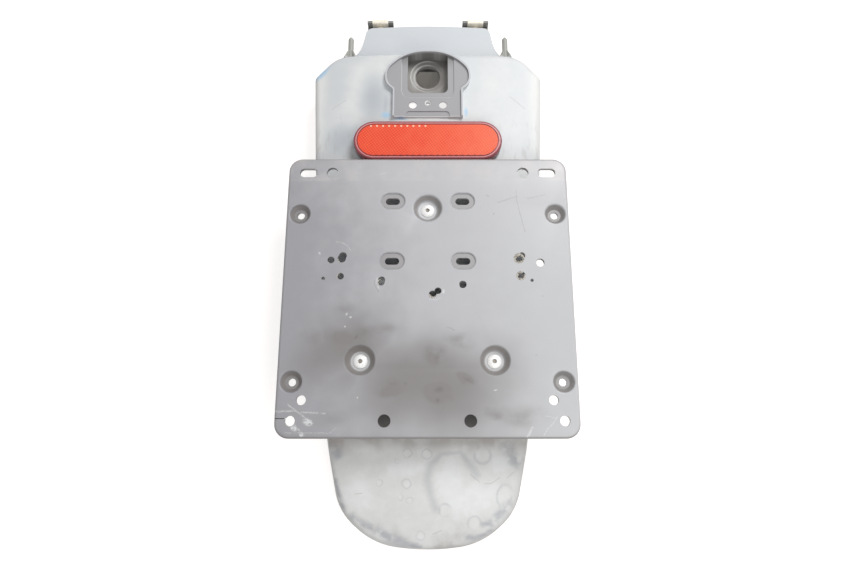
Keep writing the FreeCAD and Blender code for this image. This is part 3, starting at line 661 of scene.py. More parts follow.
@dataclass(frozen=True)
class LampSeat:
    """Bare plastic inside the rim of the lamp seat, with painted shade in its roof and bore and painted light on
    its countersinks and step.
    """

    bare: Colour = (0.355, 0.35, 0.362)
    rim: Colour = (0.54, 0.55, 0.57)
    rim_y: Ramp = (10.6, 10.3)
    pocket: Colour = (0.30, 0.285, 0.27)
    pocket_y: Ramp = (12.2, 13.6)
    dome_edge: Ramp = (1.01, 0.985)
    block_dome: Spot = Spot(0.0, 166.0, 63.6, 41.4)
    block_x: Ramp = (26.0, 25.6)
    block_z: Ramp = (132.0, 132.6)
    dome: Spot = Spot(0.0, 166.0, 60.8, 38.6)
    shaft_x: Ramp = (24.7, 24.2)
    shaft_top: Ramp = (157.5, 156.5)
    shaft_foot: Ramp = (132.5, 132.8)
    inside_y: Ramp = (10.3, 10.9)
    inside_end: Ramp = (26.0, 25.0)
    # Painted shade under the roof of the pocket
    roof_y: Ramp = (11.7, 12.6)
    roof_z: Ramp = (170.0, 182.0)
    roof_shade_share: float = 0.7
    # Painted shade in the top of the lamp's bore
    bore: Spot = Spot(0.0, 170.6, 18.8, 18.8)
    bore_edge: Ramp = (1.01, 0.99)
    bore_shade_z: Ramp = (170.0, 175.0)
    bore_shade_share: float = 0.85
    # Painted light on the lit left side of the countersink round the bore
    sink_y: Ramp = (20.0, 20.4)
    sink_x: Ramp = (8.0, -2.0)
    sink_rings: tuple[Spot, ...] = (Spot(0.0, 170.6, 25.8, 25.8), Spot(0.0, 170.6, 20.6, 20.6))
    sink_ring_breadth: float = 0.06
    sink_ring_share: float = 0.5
    sink_light: Marks = Marks(1.0, (Spot(-9.6, 164.0, 9.0, 17.0),))
    sink_light_share: float = 0.25
    # Painted highlight along the left and lower edge of the step
    step: Lines = Lines(0.9, trail(
        (0.9, 0.9, 0.9, 0.9), (-19.2, 176.0), (-19.2, 153.1), (-17.6, 149.2), (-13.7, 147.6), (16.0, 147.6)))
    step_y: Ramp = (13.2, 12.8)
    step_share: float = 0.38
    # Painted light on the countersink of the pilot hole
    pilot: Marks = Marks(0.2, (Spot(0.0, 143.3, 5.2, 5.2),))
    pilot_y: Ramp = (11.65, 11.8)

    def lay(self, graph: Graph, colour: Value) -> Value:
        """Lay the rim and the bare plastic inside it over a colour.

        Args:
            graph: Node tree of the material.
            colour: Colour outside the seat.

        Returns:
            The colour with the seat.
        """
        dome = graph.reach(self.dome).rise(self.dome_edge)
        shaft = abs(graph.x).rise(self.shaft_x) * graph.z.rise(self.shaft_top)
        block = graph.reach(self.block_dome).rise(self.dome_edge) | abs(graph.x).rise(self.block_x)
        colour = graph.mix(colour, self.rim, block * graph.z.rise(self.block_z) * graph.y.rise(self.rim_y))
        inside = (dome | shaft * graph.z.rise(self.shaft_foot)) * graph.y.rise(self.inside_y)
        return graph.mix(colour, self.inside(graph), inside * graph.y.rise(self.inside_end))

    def inside(self, graph: Graph) -> Value:
        """Colour of the bare plastic, with painted shade under the roof and in the bore, and painted light on
        lit edges.

        Args:
            graph: Node tree of the material.

        Returns:
            The colour.
        """
        bare = graph.mix(self.bare, self.pocket, graph.y.rise(self.pocket_y))
        # Painted shade under the roof and in the top of the bore
        roof = graph.z.rise(self.roof_z) * graph.y.rise(self.roof_y)
        bore = graph.reach(self.bore).rise(self.bore_edge) * graph.z.rise(self.bore_shade_z)
        bare = graph.mix(bare, DARK, roof * self.roof_shade_share | bore * self.bore_shade_share)
        # Painted light on the left side of the countersink
        rings = graph.rings(self.sink_rings, self.sink_ring_breadth) * self.sink_ring_share
        lit_sink = rings | graph.spots(self.sink_light) * self.sink_light_share
        bare = graph.mix(bare, BLOOM_AND_LIGHT, lit_sink * graph.y.rise(self.sink_y) * graph.x.rise(self.sink_x))
        # Painted highlight on the step's edge and painted light on the pilot hole's countersink
        step_highlight = graph.strokes(self.step) * graph.y.rise(self.step_y) * self.step_share
        pilot = graph.spots(self.pilot) * graph.y.rise(self.pilot_y)
        return graph.mix(bare, BLOOM_AND_LIGHT, step_highlight | pilot)


@dataclass(frozen=True)
class TailSoilAndShade:
    """Soil on the pegs, and painted shade on the tabs of the neck."""

    soiled: Colour = (0.36, 0.36, 0.335)
    peg_y: Ramp = (23.95, 23.5)
    peg_z: Ramp = (186.3, 187.6)
    smears: Lines = Lines(0.8, (
        Stroke((-69.0, 183.6), (-55.0, 186.0), 3.4),
        Stroke((56.0, 186.0), (70.0, 183.4), 3.4),
    ))
    smear_edges: Wander = Wander(4.0, 2.0)
    smear_gaps: Cloud = Cloud(3.0, 3.0, (0.32, 0.56))
    smear_y: Ramp = (30.0, 26.0)
    smear_share: float = 0.7
    # Painted shade on the tabs at the top of the neck
    tab_shade: Colour = (0.25, 0.245, 0.235)
    tab_x: Ramp = (25.8, 26.6)
    tab_z: Ramp = (217.0, 217.8)

    def lay(self, graph: Graph, colour: Value) -> Value:
        """Lay the soil and the painted shade over a colour.

        Args:
            graph: Node tree of the material.
            colour: Colour below the soil and the painted shade.

        Returns:
            The colour with the soil and the painted shade.
        """
        pegs = graph.z.rise(self.peg_z) * graph.y.rise(self.peg_y)
        colour = graph.mix(colour, self.soiled, pegs)
        smeared = graph.strokes(self.smears, graph.wobble(self.smear_edges)) * graph.patches(self.smear_gaps)
        colour = graph.mix(colour, self.soiled, smeared * graph.y.rise(self.smear_y) * self.smear_share)
        # Painted shade on the tabs
        tabs = graph.z.rise(self.tab_z) * abs(graph.x).rise(self.tab_x)
        return graph.mix(colour, self.tab_shade, tabs)


@dataclass(frozen=True)
class GuardShadeAndWear:
    """Painted shade beside the lamp seat, and the streaks, flecks and paint traces of use on the mudguard."""

    # Painted shade of the raised lamp seat on the face to its left
    shade: Colour = (0.47, 0.50, 0.53)
    shade_z: Ramp = (98.0, 104.0)
    shade_share: float = 0.9
    shades: Marks = Marks(1.0, (
        Spot(-40.0, 149.0, 32.0, 66.0),
        Spot(-31.0, 143.0, 9.0, 34.0),
        Spot(-60.0, 116.0, 40.0, 34.0),
    ))
    streaks: Cloud = Cloud(3.4, 4.0, (0.52, 0.72), (1.0, 1.0, 0.3))
    streak_x: Ramp = (28.0, 64.0)
    streak_top: Ramp = (150.0, 105.0)
    streak_foot: Ramp = (90.0, 98.0)
    streak_share: float = 0.28
    scratch_share: float = 0.45
    flecks: Cloud = Cloud(1.5, 2.0, (0.70, 0.76))
    fleck_share: float = 0.14
    paint: Colour = (0.40, 0.60, 0.78)
    paint_flecks: Marks = Marks(1.0, (
        Spot(-30.0, 134.6, 12.0, 8.0),
        Spot(-19.5, 131.2, 16.0, 3.0),
        Spot(27.8, 137.0, 4.0, 10.0),
    ))
    shoulder_paint: Marks = Marks(1.0, (Spot(-78.6, 170.4, 24.0, 7.4, -42.0),))
    shoulder_y: Ramp = (40.0, 30.0)

    def lay_painted_shade(self, graph: Graph, colour: Value, uneven: Value, front: Value) -> Value:
        """Lay the painted shade over a colour.

        Args:
            graph: Node tree of the material.
            colour: Colour below the shade.
            uneven: Place with uneven edges.
            front: Mask of the front face.

        Returns:
            The colour with the painted shade.
        """
        # Painted shade on the face left of the raised lamp seat
        shaded = graph.spots(self.shades, uneven) * graph.z.rise(self.shade_z) * front
        return graph.mix(colour, self.shade, shaded * self.shade_share)

    def lay_traces(self, graph: Graph, colour: Value, uneven: Value, front: Value, scratched: Value) -> Value:
        """Lay streaks, scratches, flecks and paint over a colour.

        Args:
            graph: Node tree of the material.
            colour: Colour below them.
            uneven: Place with uneven edges.
            front: Mask of the front face.
            scratched: Mask of the scratches.

        Returns:
            The colour with the traces.
        """
        sides = abs(graph.x).rise(self.streak_x) * graph.z.rise(self.streak_top)
        streaked = graph.patches(self.streaks) * (sides * graph.z.rise(self.streak_foot)) * front
        colour = graph.mix(colour, GRIME_AND_SHADOW, streaked * self.streak_share)
        colour = graph.mix(colour, GRIME_AND_SHADOW, scratched * self.scratch_share)
        colour = graph.mix(colour, GRIME_AND_SHADOW, graph.patches(self.flecks) * self.fleck_share)
        shoulder = graph.spots(self.shoulder_paint, uneven) * graph.y.rise(self.shoulder_y)
        return graph.mix(colour, self.paint, graph.spots(self.paint_flecks, uneven) * front | shoulder)


@dataclass(frozen=True)
class MudguardPlastic:
    """Light grey plastic with a pale bloom, bare grey in the lamp seat, drop marks on the flap and some painted
    light and shade.
    """

    front: FrontFace = FrontFace()
    faces: OpenFaces = OpenFaces()
    flap: FlapMarks = FlapMarks()
    seat: LampSeat = LampSeat()
    tail: TailSoilAndShade = TailSoilAndShade()
    shade_and_wear: GuardShadeAndWear = GuardShadeAndWear()
    uneven: Wander = Wander(9.0, 3.0)
    bloom: Cloud = Cloud(38.0, 4.0, (0.36, 0.66))
    scratch_edges: Wander = Wander(4.0, 0.8)
    scratches: Lines = Lines(0.75, (
        Stroke((-47.0, -128.0), (-42.0, -127.4), 0.7),
        Stroke((3.1, -152.9), (9.1, -150.7), 0.7),
        Stroke((27.5, -115.7), (34.0, -120.6), 0.6),
        *trail((0.6, 0.6), (37.0, -121.5), (41.1, -121.5), (46.8, -117.6)),
        Stroke((51.3, -118.1), (56.0, -114.2), 0.6),
        Stroke((60.0, 151.0), (71.0, 141.5), 0.6),
        Stroke((-60.0, 148.0), (-70.0, 141.0), 0.5),
    ))
    fine: Cloud = Cloud(2.6, 3.0)
    fine_relief: float = 0.35
    fine_roughness: float = 0.1
    grain: Cloud = Cloud(0.5, 2.0)
    grain_relief: float = 0.25
    relief: float = 0.05
    roughness: float = 0.44
    bloom_roughness: float = 0.12

    def material(self) -> bpy.types.Material:
        """Make the material.

        Returns:
            The material.
        """
        graph = Graph("mudguard_plastic")
        uneven = graph.wobble(self.uneven)
        fine = graph.noise(self.fine)
        bloom = graph.patches(self.bloom)
        front = self.front.mask(graph)
        colour = self.faces.colour(graph, bloom)
        colour = self.flap.lay(graph, colour, uneven, front)
        colour = self.shade_and_wear.lay_painted_shade(graph, colour, uneven, front)
        colour = self.seat.lay(graph, colour)
        colour = self.tail.lay(graph, colour)
        scratched = graph.strokes(self.scratches, graph.wobble(self.scratch_edges)) * front
        colour = self.shade_and_wear.lay_traces(graph, colour, uneven, front, scratched)
        height = fine * self.fine_relief + graph.noise(self.grain) * self.grain_relief - scratched
        roughness = self.roughness + bloom * self.bloom_roughness + (fine - MEAN) * self.fine_roughness
        return graph.finish(Base_Color=colour, Roughness=roughness, Normal=graph.bump(height, self.relief))


@dataclass(frozen=True)
class HolderGround:
    """Grey of the plate holder, paler to the right partly as painted light, with grime, and painted shade and
    light in its dishes.
    """

    cool: Colour = (0.335, 0.33, 0.35)
    middle: Colour = (0.49, 0.49, 0.51)
    middle_drift: Ramp = (-92.0, 10.0)
    # Tone of the right side, partly painted light from the right and partly less grime
    lit_and_clean: Colour = (0.53, 0.535, 0.545)
    lit_and_clean_drift: Ramp = (4.0, 92.0)
    lit_and_clean_z: Ramp = (85.0, 25.0)
    haze_drift: float = 60.0
    top_drift: float = 30.0
    top_z: Ramp = (30.0, 85.0)
    dust: Colour = (0.57, 0.54, 0.53)
    dust_clouds: Cloud = Cloud(16.0, 4.0, (0.40, 0.70))
    dust_z: Ramp = (76.0, 78.0)
    dust_share: float = 0.6
    grime: Colour = (0.225, 0.213, 0.21)
    stains: Marks = Marks(0.9, (
        Spot(2.0, -61.0, 164.0, 112.0, 6.0),
        Spot(-50.0, -36.0, 104.0, 76.0, -20.0),
    ))
    stain_edges: Wander = Wander(38.0, 36.0)
    stain_share: float = 0.95
    smudges: Marks = Marks(1.0, (
        Spot(-52.9, -12.0, 22.0, 12.0),
        Spot(-76.2, -30.9, 20.0, 14.0),
        Spot(-58.0, -29.6, 26.0, 14.0, 10.0),
        Spot(-30.0, -26.3, 40.0, 13.0, -6.0),
        Spot(-26.0, -63.0, 30.0, 17.0),
        Spot(7.0, -66.5, 24.0, 17.0),
        Spot(20.2, -32.5, 28.0, 15.0, 18.0),
        Spot(24.2, -57.4, 19.0, 9.0, 30.0),
        Spot(5.0, -42.0, 20.0, 18.0),
        Spot(42.0, -79.4, 26.0, 10.0, 12.0),
        Spot(60.0, -81.0, 46.0, 20.0),
        Spot(-60.0, -83.0, 40.0, 16.0),
    ))
    smudge_edges: Wander = Wander(11.0, 7.0)
    smudge_haze: Ramp = (0.26, 0.60)
    smudge_share: float = 0.4
    # Painted shade on the sides of the dishes and of the holes through the plate
    dish_wall_shade: Colour = (0.20, 0.18, 0.165)
    dishes: Marks = Marks(0.05, (
        Spot(85.7, 53.0, 14.0, 14.0),
        Spot(85.7, -59.2, 14.0, 14.0),
        Spot(0.0, 57.2, 19.6, 19.6),
        Spot(42.9, -45.7, 19.6, 19.6),
    ))
    plate_y: Ramp = (2.9, 2.6)
    dish_y: Ramp = (0.5, 1.8)
    dish_end: Ramp = (5.2, 3.4)
    dish_wall_shade_share: float = 0.7
    # Painted light on the bottoms of the dishes
    dish_floor_light: Colour = (0.74, 0.75, 0.75)
    floor_y: Ramp = (5.0, 5.4)
    floor_end: Ramp = (6.4, 6.0)
    floor_share: float = 0.5

    def soil(self, graph: Graph, haze: Value) -> Value:
        """Mask of the grime that lies thickest low in the middle and on the left.

        Args:
            graph: Node tree of the material.
            haze: Wide cloudy pattern.

        Returns:
            The mask.
        """
        wide = graph.spots(self.stains, graph.wobble(self.stain_edges)) * self.stain_share
        near = graph.spots(self.smudges, graph.wobble(self.smudge_edges)) * haze.rise(self.smudge_haze)
        return (wide + near * self.smudge_share).clamp()

    def left_to_right_tone(self, graph: Graph, haze: Value) -> Value:
        """Plastic that pales from its left side to its right edge, partly as painted light, with dust on the top
        band.

        Args:
            graph: Node tree of the material.
            haze: Wide cloudy pattern.

        Returns:
            The colour.
        """
        # Pales to the right, partly as painted light from the right
        drift = graph.x + (haze - MEAN) * self.haze_drift + graph.z.rise(self.top_z) * self.top_drift
        colour = graph.mix(self.cool, self.middle, drift.rise(self.middle_drift))
        colour = graph.mix(colour, self.lit_and_clean, drift.rise(self.lit_and_clean_drift) * graph.z.rise(self.lit_and_clean_z))
        dusty = graph.z.rise(self.dust_z) * graph.patches(self.dust_clouds)
        return graph.mix(colour, self.dust, dusty * self.dust_share)

    def colour(self, graph: Graph, haze: Value, soil: Value) -> Value:
        """Colour of the holder before any marks.

        Args:
            graph: Node tree of the material.
            haze: Wide cloudy pattern.
            soil: Mask of the grime.

        Returns:
            The colour.
        """
        colour = graph.mix(self.left_to_right_tone(graph, haze), self.grime, soil)
        # Painted shade on the sides of the dishes and holes
        folded = graph.node("ShaderNodeCombineXYZ", inputs={0: abs(graph.x), 2: graph.z})
        sunk = graph.y.rise(self.plate_y) | graph.spots(self.dishes, folded)
        walls = sunk * graph.y.rise(self.dish_y) * graph.y.rise(self.dish_end)
        colour = graph.mix(colour, self.dish_wall_shade, walls * self.dish_wall_shade_share)
        # Painted light on the bottoms of the dishes
        lit_floors = graph.y.rise(self.floor_y) * graph.y.rise(self.floor_end)
        return graph.mix(colour, self.dish_floor_light, lit_floors * self.floor_share)


@dataclass(frozen=True)
class HolderPlastic:
    """Grey plastic with grime, soot, chalklike scuffs, scratches, nicks and a painted highlight on its face."""

    ground: HolderGround = HolderGround()
    front_y: Ramp = (2.6, 1.8)
    haze: Cloud = Cloud(13.0, 4.0)
    soot_edges: Wander = Wander(5.0, 2.4)
    fidget: Wander = Wander(1.6, 0.9)
    dark: Colour = (0.17, 0.155, 0.15)
    soot: Marks = Marks(1.0, (
        Spot(-22.5, -60.2, 7.6, 3.6, 8.0),
        Spot(-13.6, -60.4, 4.4, 3.4),
        Spot(6.2, -44.6, 5.0, 7.0, -12.0),
        Spot(7.2, -64.0, 9.0, 6.4),
        Spot(25.6, -58.2, 10.0, 3.4, 32.0),
        Spot(6.2, -70.7, 3.6, 4.4),
        Spot(-45.6, -31.0, 6.0, 3.2, -40.0),
    ))
    soot_haze: Ramp = (0.28, 0.55)
    soot_share: float = 0.75
    scuff_and_highlight: Colour = (0.74, 0.75, 0.75)
    chalk_lines: Lines = Lines(0.9, (
        Stroke((-60.5, 33.3), (-55.6, 32.2), 0.7),
        Stroke((-56.2, 32.5), (-52.6, 29.9), 0.7),
        Stroke((-53.2, 30.6), (-50.5, 26.6), 0.7),
        Stroke((-33.7, 81.7), (-27.2, 83.1), 0.9),
        Stroke((-86.8, -73.4), (-75.7, -81.3), 1.5),
        Stroke((-94.0, -77.6), (-82.0, -77.2), 1.8),
        Stroke((-77.9, -78.0), (-63.3, -78.9), 1.6),
        Stroke((-84.0, -82.5), (-80.0, -90.0), 3.0),
        Stroke((-79.5, -88.5), (-76.0, -92.0), 2.2),
        Stroke((-87.8, -90.4), (-59.5, -90.6), 0.6),
        Stroke((-59.8, -90.4), (-55.7, -87.1), 0.6),
        Stroke((80.2, -80.8), (77.3, -85.3), 0.9),
        Stroke((77.6, -84.9), (73.9, -88.5), 0.9),
        Stroke((74.2, -88.2), (71.7, -92.3), 0.8),
        Stroke((72.9, -80.2), (78.6, -81.5), 0.7),
        Stroke((64.9, -87.4), (61.6, -92.8), 2.6),
        *trail((1.5, 1.4), (-33.0, 8.0), (-33.4, 4.4), (-31.6, 1.0)),
        *trail((1.2, 1.0), (1.4, -6.3), (5.2, -6.6), (8.6, -5.0)),
    ))
    line_gaps: Cloud = Cloud(1.3, 3.0, (0.32, 0.56))
    line_share: float = 0.6
    chalk_and_highlight_patches: Marks = Marks(0.6, (
        Spot(-73.9, -84.0, 8.6, 5.6, 20.0),
        Spot(-82.4, -87.6, 5.6, 4.6, 30.0),
        Spot(-77.7, -91.6, 3.4, 3.4),
        # Painted highlight to the right of the drilled holes near the middle
        Spot(10.4, -0.8, 2.0, 4.0),
    ))
    patch_gaps: Cloud = Cloud(1.1, 3.0, (0.34, 0.5))
    chalk_share: float = 0.8
    nicks: Marks = Marks(0.5, (
        Spot(-71.4, 25.3, 1.6, 2.6, -35.0),
        Spot(-52.1, -15.9, 1.3, 2.2, 35.0),
        Spot(-49.6, -18.0, 2.2, 1.6),
        Spot(-52.9, -24.0, 1.4, 1.6),
        Spot(-43.6, -69.1, 1.3, 1.6),
        Spot(42.6, -64.4, 3.4, 1.0, -20.0),
    ))
    nick_share: float = 0.6
    scratches: Lines = Lines(0.75, (
        Stroke((59.8, 69.9), (60.2, 62.1), 0.5),
        Stroke((60.2, 62.6), (61.9, 52.4), 0.5),
        Stroke((61.9, 53.4), (65.0, 40.0), 0.5),
        Stroke((47.1, 61.0), (60.5, 65.5), 0.5),
        Stroke((67.3, 64.0), (79.7, 66.8), 0.4),
        Stroke((12.0, -24.5), (15.0, -25.3), 0.7),
        Stroke((14.4, -25.0), (17.5, -26.8), 0.8),
        Stroke((-69.4, 16.6), (-66.4, 12.9), 0.4),
        *trail((0.8, 1.0), (-34.7, 6.6), (-34.5, 3.2), (-31.8, -1.0)),
    ))
    scratch_share: float = 0.3
    specks: Marks = Marks(0.6, (
        Spot(40.7, 66.0, 3.0, 1.2, 25.0),
        Spot(44.4, 52.9, 1.6, 1.6),
        Spot(35.5, 57.1, 1.2, 0.8),
        Spot(67.7, 64.0, 1.2, 1.0),
        Spot(69.0, -42.4, 3.4, 0.7, -25.0),
        Spot(74.7, -3.8, 2.6, 0.7, 30.0),
    ))
    speck_share: float = 0.3
    grit: Cloud = Cloud(1.0, 2.0, (0.70, 0.78))
    grit_share: float = 0.08
    fine: Cloud = Cloud(1.9, 3.0)
    fine_relief: float = 0.3
    grain: Cloud = Cloud(0.45, 2.0)
    grain_relief: float = 0.2
    relief: float = 0.05
    roughness: float = 0.38
    soil_roughness: float = 0.16
    haze_roughness: float = 0.14
    chalk_roughness: float = 0.15

    def chalk_and_highlight(self, graph: Graph, fidget: Value) -> Value:
        """Mask of the chalklike scuffs and of a painted highlight beside a drilled hole.

        Args:
            graph: Node tree of the material.
            fidget: Place with finely uneven edges.

        Returns:
            The mask.
        """
        lines = graph.strokes(self.chalk_lines, fidget) * graph.patches(self.line_gaps)
        patches = graph.spots(self.chalk_and_highlight_patches, fidget) * graph.patches(self.patch_gaps)
        return lines * self.line_share | patches

    def material(self) -> bpy.types.Material:
        """Make the material.

        Returns:
            The material.
        """
        graph = Graph("holder_plastic")
        fidget = graph.wobble(self.fidget)
        front = graph.y.rise(self.front_y)
        haze = graph.noise(self.haze)
        soil = self.ground.soil(graph, haze)
        colour = self.ground.colour(graph, haze, soil)
        soot = graph.spots(self.soot, graph.wobble(self.soot_edges)) * haze.rise(self.soot_haze)
        colour = graph.mix(colour, self.dark, soot * self.soot_share)
        # Chalklike scuffs, with one painted highlight
        chalk_and_highlight = self.chalk_and_highlight(graph, fidget)
        nicked = graph.spots(self.nicks, fidget)
        pale = chalk_and_highlight * self.chalk_share | nicked * self.nick_share
        colour = graph.mix(colour, self.scuff_and_highlight, pale * front)
        scratched = graph.strokes(self.scratches, fidget)
        specked = graph.spots(self.specks, fidget)
        dark = scratched * self.scratch_share | specked * self.speck_share
        colour = graph.mix(colour, self.dark, dark * front)
        colour = graph.mix(colour, self.dark, graph.patches(self.grit) * self.grit_share)
        grain = graph.noise(self.fine) * self.fine_relief + graph.noise(self.grain) * self.grain_relief
        roughness = self.roughness + soil * self.soil_roughness + (haze - MEAN) * self.haze_roughness
        roughness = roughness + chalk_and_highlight * self.chalk_roughness
        normal = graph.bump(grain - scratched * front, self.relief)
        return graph.finish(Base_Color=colour, Roughness=roughness, Normal=normal)


@dataclass(frozen=True)
class RedLens:
    """Clear red reflector plastic over rows of fine prisms."""

    middle_z: float = 111.4
    half_straight: float = 37.6
    half_height: float = 14.9
    face: Colour = (0.93, 0.11, 0.045)
    deep: Colour = (0.66, 0.045, 0.025)
    prism_pitch: float = 4.2
    prism_slants: tuple[float, float] = (0.7, 0.8)
    prism_ramp: Ramp = (0.0, 0.55)
    # Painted light that grows towards the right of the lens
    light: Colour = (0.95, 0.20, 0.08)
    painted_light_x: Ramp = (-30.0, 55.0)
    painted_light_share: float = 0.4
    clouds: Cloud = Cloud(9.0, 3.0)
    cloud_share: float = 0.6
    # Painted glints along the upper left edge of the prism field
    glint: Colour = (0.96, 0.74, 0.52)
    glint_first: float = -40.3
    glint_pitch: float = 4.3
    glint_z: float = 122.2
    glint_radius: Ramp = (0.95, 0.45)
    glint_left: Ramp = (-43.0, -42.0)
    glint_right: Ramp = (0.6, -0.4)
    glint_share: float = 0.8
    line: Colour = (0.20, 0.03, 0.045)
    notch_z: float = 98.9
    notch_radius: Ramp = (1.6, 1.0)
    notch_share: float = 0.55
    rim: Colour = (0.76, 0.31, 0.31)
    rim_breadth: Ramp = (2.75, 2.25)
    groove: float = 2.6
    groove_breadth: Ramp = (0.62, 0.25)
    groove_share: float = 0.75
    outline: Ramp = (1.8, 1.25)
    outline_share: float = 0.85
    grain: Cloud = Cloud(0.8, 2.0)
    grain_relief: float = 0.2
    relief: float = 0.05
    roughness: float = 0.22
    cloud_roughness: float = 0.16
    coat: float = 0.12
    coat_roughness: float = 0.08
    specular: float = 0.25

    def edge_distance(self, graph: Graph) -> Value:
        """Distance inwards from the lens's outline.

        Args:
            graph: Node tree of the material.

        Returns:
            The distance.
        """
        over = (abs(graph.x) - self.half_straight).math("MAXIMUM", 0.0)
        up = graph.z - self.middle_z
        return self.half_height - (over * over + up * up).math("SQRT")

    def weave(self, graph: Graph) -> Value:
        """Crossed slanting rows of prisms.

        Args:
            graph: Node tree of the material.

        Returns:
            The pattern, from 0 in the valleys to 1 on the ridges.
        """
        step = 2 * math.pi / self.prism_pitch
        first = abs(((graph.x + graph.z * self.prism_slants[0]) * step).math("SINE"))
        second = abs(((graph.x * self.prism_slants[1] - graph.z) * step).math("SINE"))
        return first.math("MINIMUM", second)

    def row(self, graph: Graph, z: float) -> Value:
        """Distance from the nearest of a row of evenly spaced points.

        Args:
            graph: Node tree of the material.
            z: Height of the row.

        Returns:
            The distance.
        """
        half_step = 0.5
        count = (graph.x - self.glint_first) / self.glint_pitch + half_step
        across = (count.math("FRACT") - half_step) * self.glint_pitch
        up = graph.z - z
        return (across * across + up * up).math("SQRT")

    def glow(self, graph: Graph, weave: Value, clouds: Value) -> Value:
        """Colour of the prisms, painted light to the right, and a row of painted glints above and of dark
        notches below.

        Args:
            graph: Node tree of the material.
            weave: Pattern of the prisms.
            clouds: Wide cloudy pattern.

        Returns:
            The colour.
        """
        colour = graph.mix(self.deep, self.face, weave.rise(self.prism_ramp))
        # Painted light towards the right, with random clouds
        lit = graph.x.rise(self.painted_light_x) * self.painted_light_share + (clouds - MEAN) * self.cloud_share
        colour = graph.mix(colour, self.light, lit)
        # Painted glints
        glints = self.row(graph, self.glint_z).rise(self.glint_radius) * graph.x.rise(self.glint_left)
        colour = graph.mix(colour, self.glint, glints * graph.x.rise(self.glint_right) * self.glint_share)
        notches = self.row(graph, self.notch_z).rise(self.notch_radius)
        return graph.mix(colour, self.line, notches * self.notch_share)

    def material(self) -> bpy.types.Material:
        """Make the material.

        Returns:
            The material.
        """
        graph = Graph("red_lens")
        inward = self.edge_distance(graph)
        weave = self.weave(graph)
        clouds = graph.noise(self.clouds)
        colour = self.glow(graph, weave, clouds)
        rim = inward.rise(self.rim_breadth)
        colour = graph.mix(colour, self.rim, rim)
        groove = abs(inward - self.groove).rise(self.groove_breadth)
        outline = inward.rise(self.outline)
        colour = graph.mix(colour, self.line, groove * self.groove_share | outline * self.outline_share)
        height = weave * (1.0 - rim) + graph.noise(self.grain) * self.grain_relief
        roughness = self.roughness + clouds * self.cloud_roughness
        graph.finish(Base_Color=colour, Roughness=roughness, Normal=graph.bump(height, self.relief))
        return graph.finish(
            Coat_Weight=self.coat, Coat_Roughness=self.coat_roughness, Specular_IOR_Level=self.specular)


class Metal(Enum):
    """Kinds of bare metal on the part."""

    ALUMINIUM = "rivet_aluminium"
    DARK_STEEL = "mandrel_steel"
    ZINC = "zinc_steel"
    GOLD_ZINC = "gold_zinc"


@dataclass(frozen=True)
class WornMetal:
    """Metal with spots, brushing and dull grime."""

    kind: Metal
    bright: Colour
    dull: Colour
    roughness: float
    metallic: float
    spots: Cloud = Cloud(1.4, 4.0, (0.46, 0.70))
    spot_share: float = 0.6
    spot_roughness: float = 0.15
    spot_relief: float = 0.4
    brushing: Cloud = Cloud(0.5, 2.0, stretch=(1.0, 1.0, 6.0))
    brushed_roughness: float = 0.2
    brushed_relief: float = 0.6
    relief: float = 0.02

    def material(self) -> bpy.types.Material:
        """Make the material.

        Returns:
            The material.
        """
        graph = Graph(self.kind.value)
        spots = graph.patches(self.spots)
        brushed = graph.noise(self.brushing)
        colour = graph.mix(self.bright, self.dull, spots * self.spot_share)
        roughness = self.roughness + (brushed - MEAN) * self.brushed_roughness + spots * self.spot_roughness
        normal = graph.bump(brushed * self.brushed_relief + spots * self.spot_relief, self.relief)
        return graph.finish(Base_Color=colour, Metallic=self.metallic, Roughness=roughness, Normal=normal)


@dataclass(frozen=True)
class BlackPlastic:
    """Plain black plastic with dust."""

    black: Colour = (0.035, 0.03, 0.032)
    dust: Colour = (0.16, 0.145, 0.135)
    dust_clouds: Cloud = Cloud(5.0, 4.0, (0.42, 0.68))
    dust_share: float = 0.6
    grain: Cloud = Cloud(0.6, 2.0)
    relief: float = 0.03
    roughness: float = 0.45
    dust_roughness: float = 0.25

    def material(self) -> bpy.types.Material:
        """Make the material.

        Returns:
            The material.
        """
        graph = Graph("dark_plastic")
        dusty = graph.patches(self.dust_clouds)
        colour = graph.mix(self.black, self.dust, dusty * self.dust_share)
        roughness = self.roughness + dusty * self.dust_roughness
        normal = graph.bump(graph.noise(self.grain), self.relief)
        return graph.finish(Base_Color=colour, Roughness=roughness, Normal=normal)


@dataclass(frozen=True)
class DebrisAndShadeStrip:
    """Loose or torn plastic in holes, or a dark strip standing in as painted shade in a crack, in patches of two
    colours.
    """

    name: str
    pale: Colour
    darker: Colour
    dirt: Cloud = Cloud(1.4, 3.0, (0.44, 0.64))
    dirt_share: float = 0.8
    relief: float = 0.05
    roughness: float = 0.5
    dirt_roughness: float = 0.2

    def material(self) -> bpy.types.Material:
        """Make the material.

        Returns:
            The material.
        """
        graph = Graph(self.name)
        darker = graph.patches(self.dirt)
        colour = graph.mix(self.pale, self.darker, darker * self.dirt_share)
        roughness = self.roughness + darker * self.dirt_roughness
        return graph.finish(Base_Color=colour, Roughness=roughness, Normal=graph.bump(darker, self.relief))


def dress(node: bpy.types.Object, material: bpy.types.Material, edge_angle: float = 30.0) -> None:
    """Give a CAD node one material and smooth shading between its real edges.

    Args:
        node: The node's object.
        material: Its finish.
        edge_angle: Angle between faces, in degrees, from which an edge stays sharp.
    """
    node.data.materials.clear()
    node.data.materials.append(material)
    node.data.polygons.foreach_set("use_smooth", [True] * len(node.data.polygons))
    weld = node.modifiers.new("weld", "WELD")
    weld.merge_threshold = WELD_REACH
    split = node.modifiers.new("edges", "EDGE_SPLIT")
    split.split_angle = math.radians(edge_angle)
    LOG.info("dressed %s", node.name)


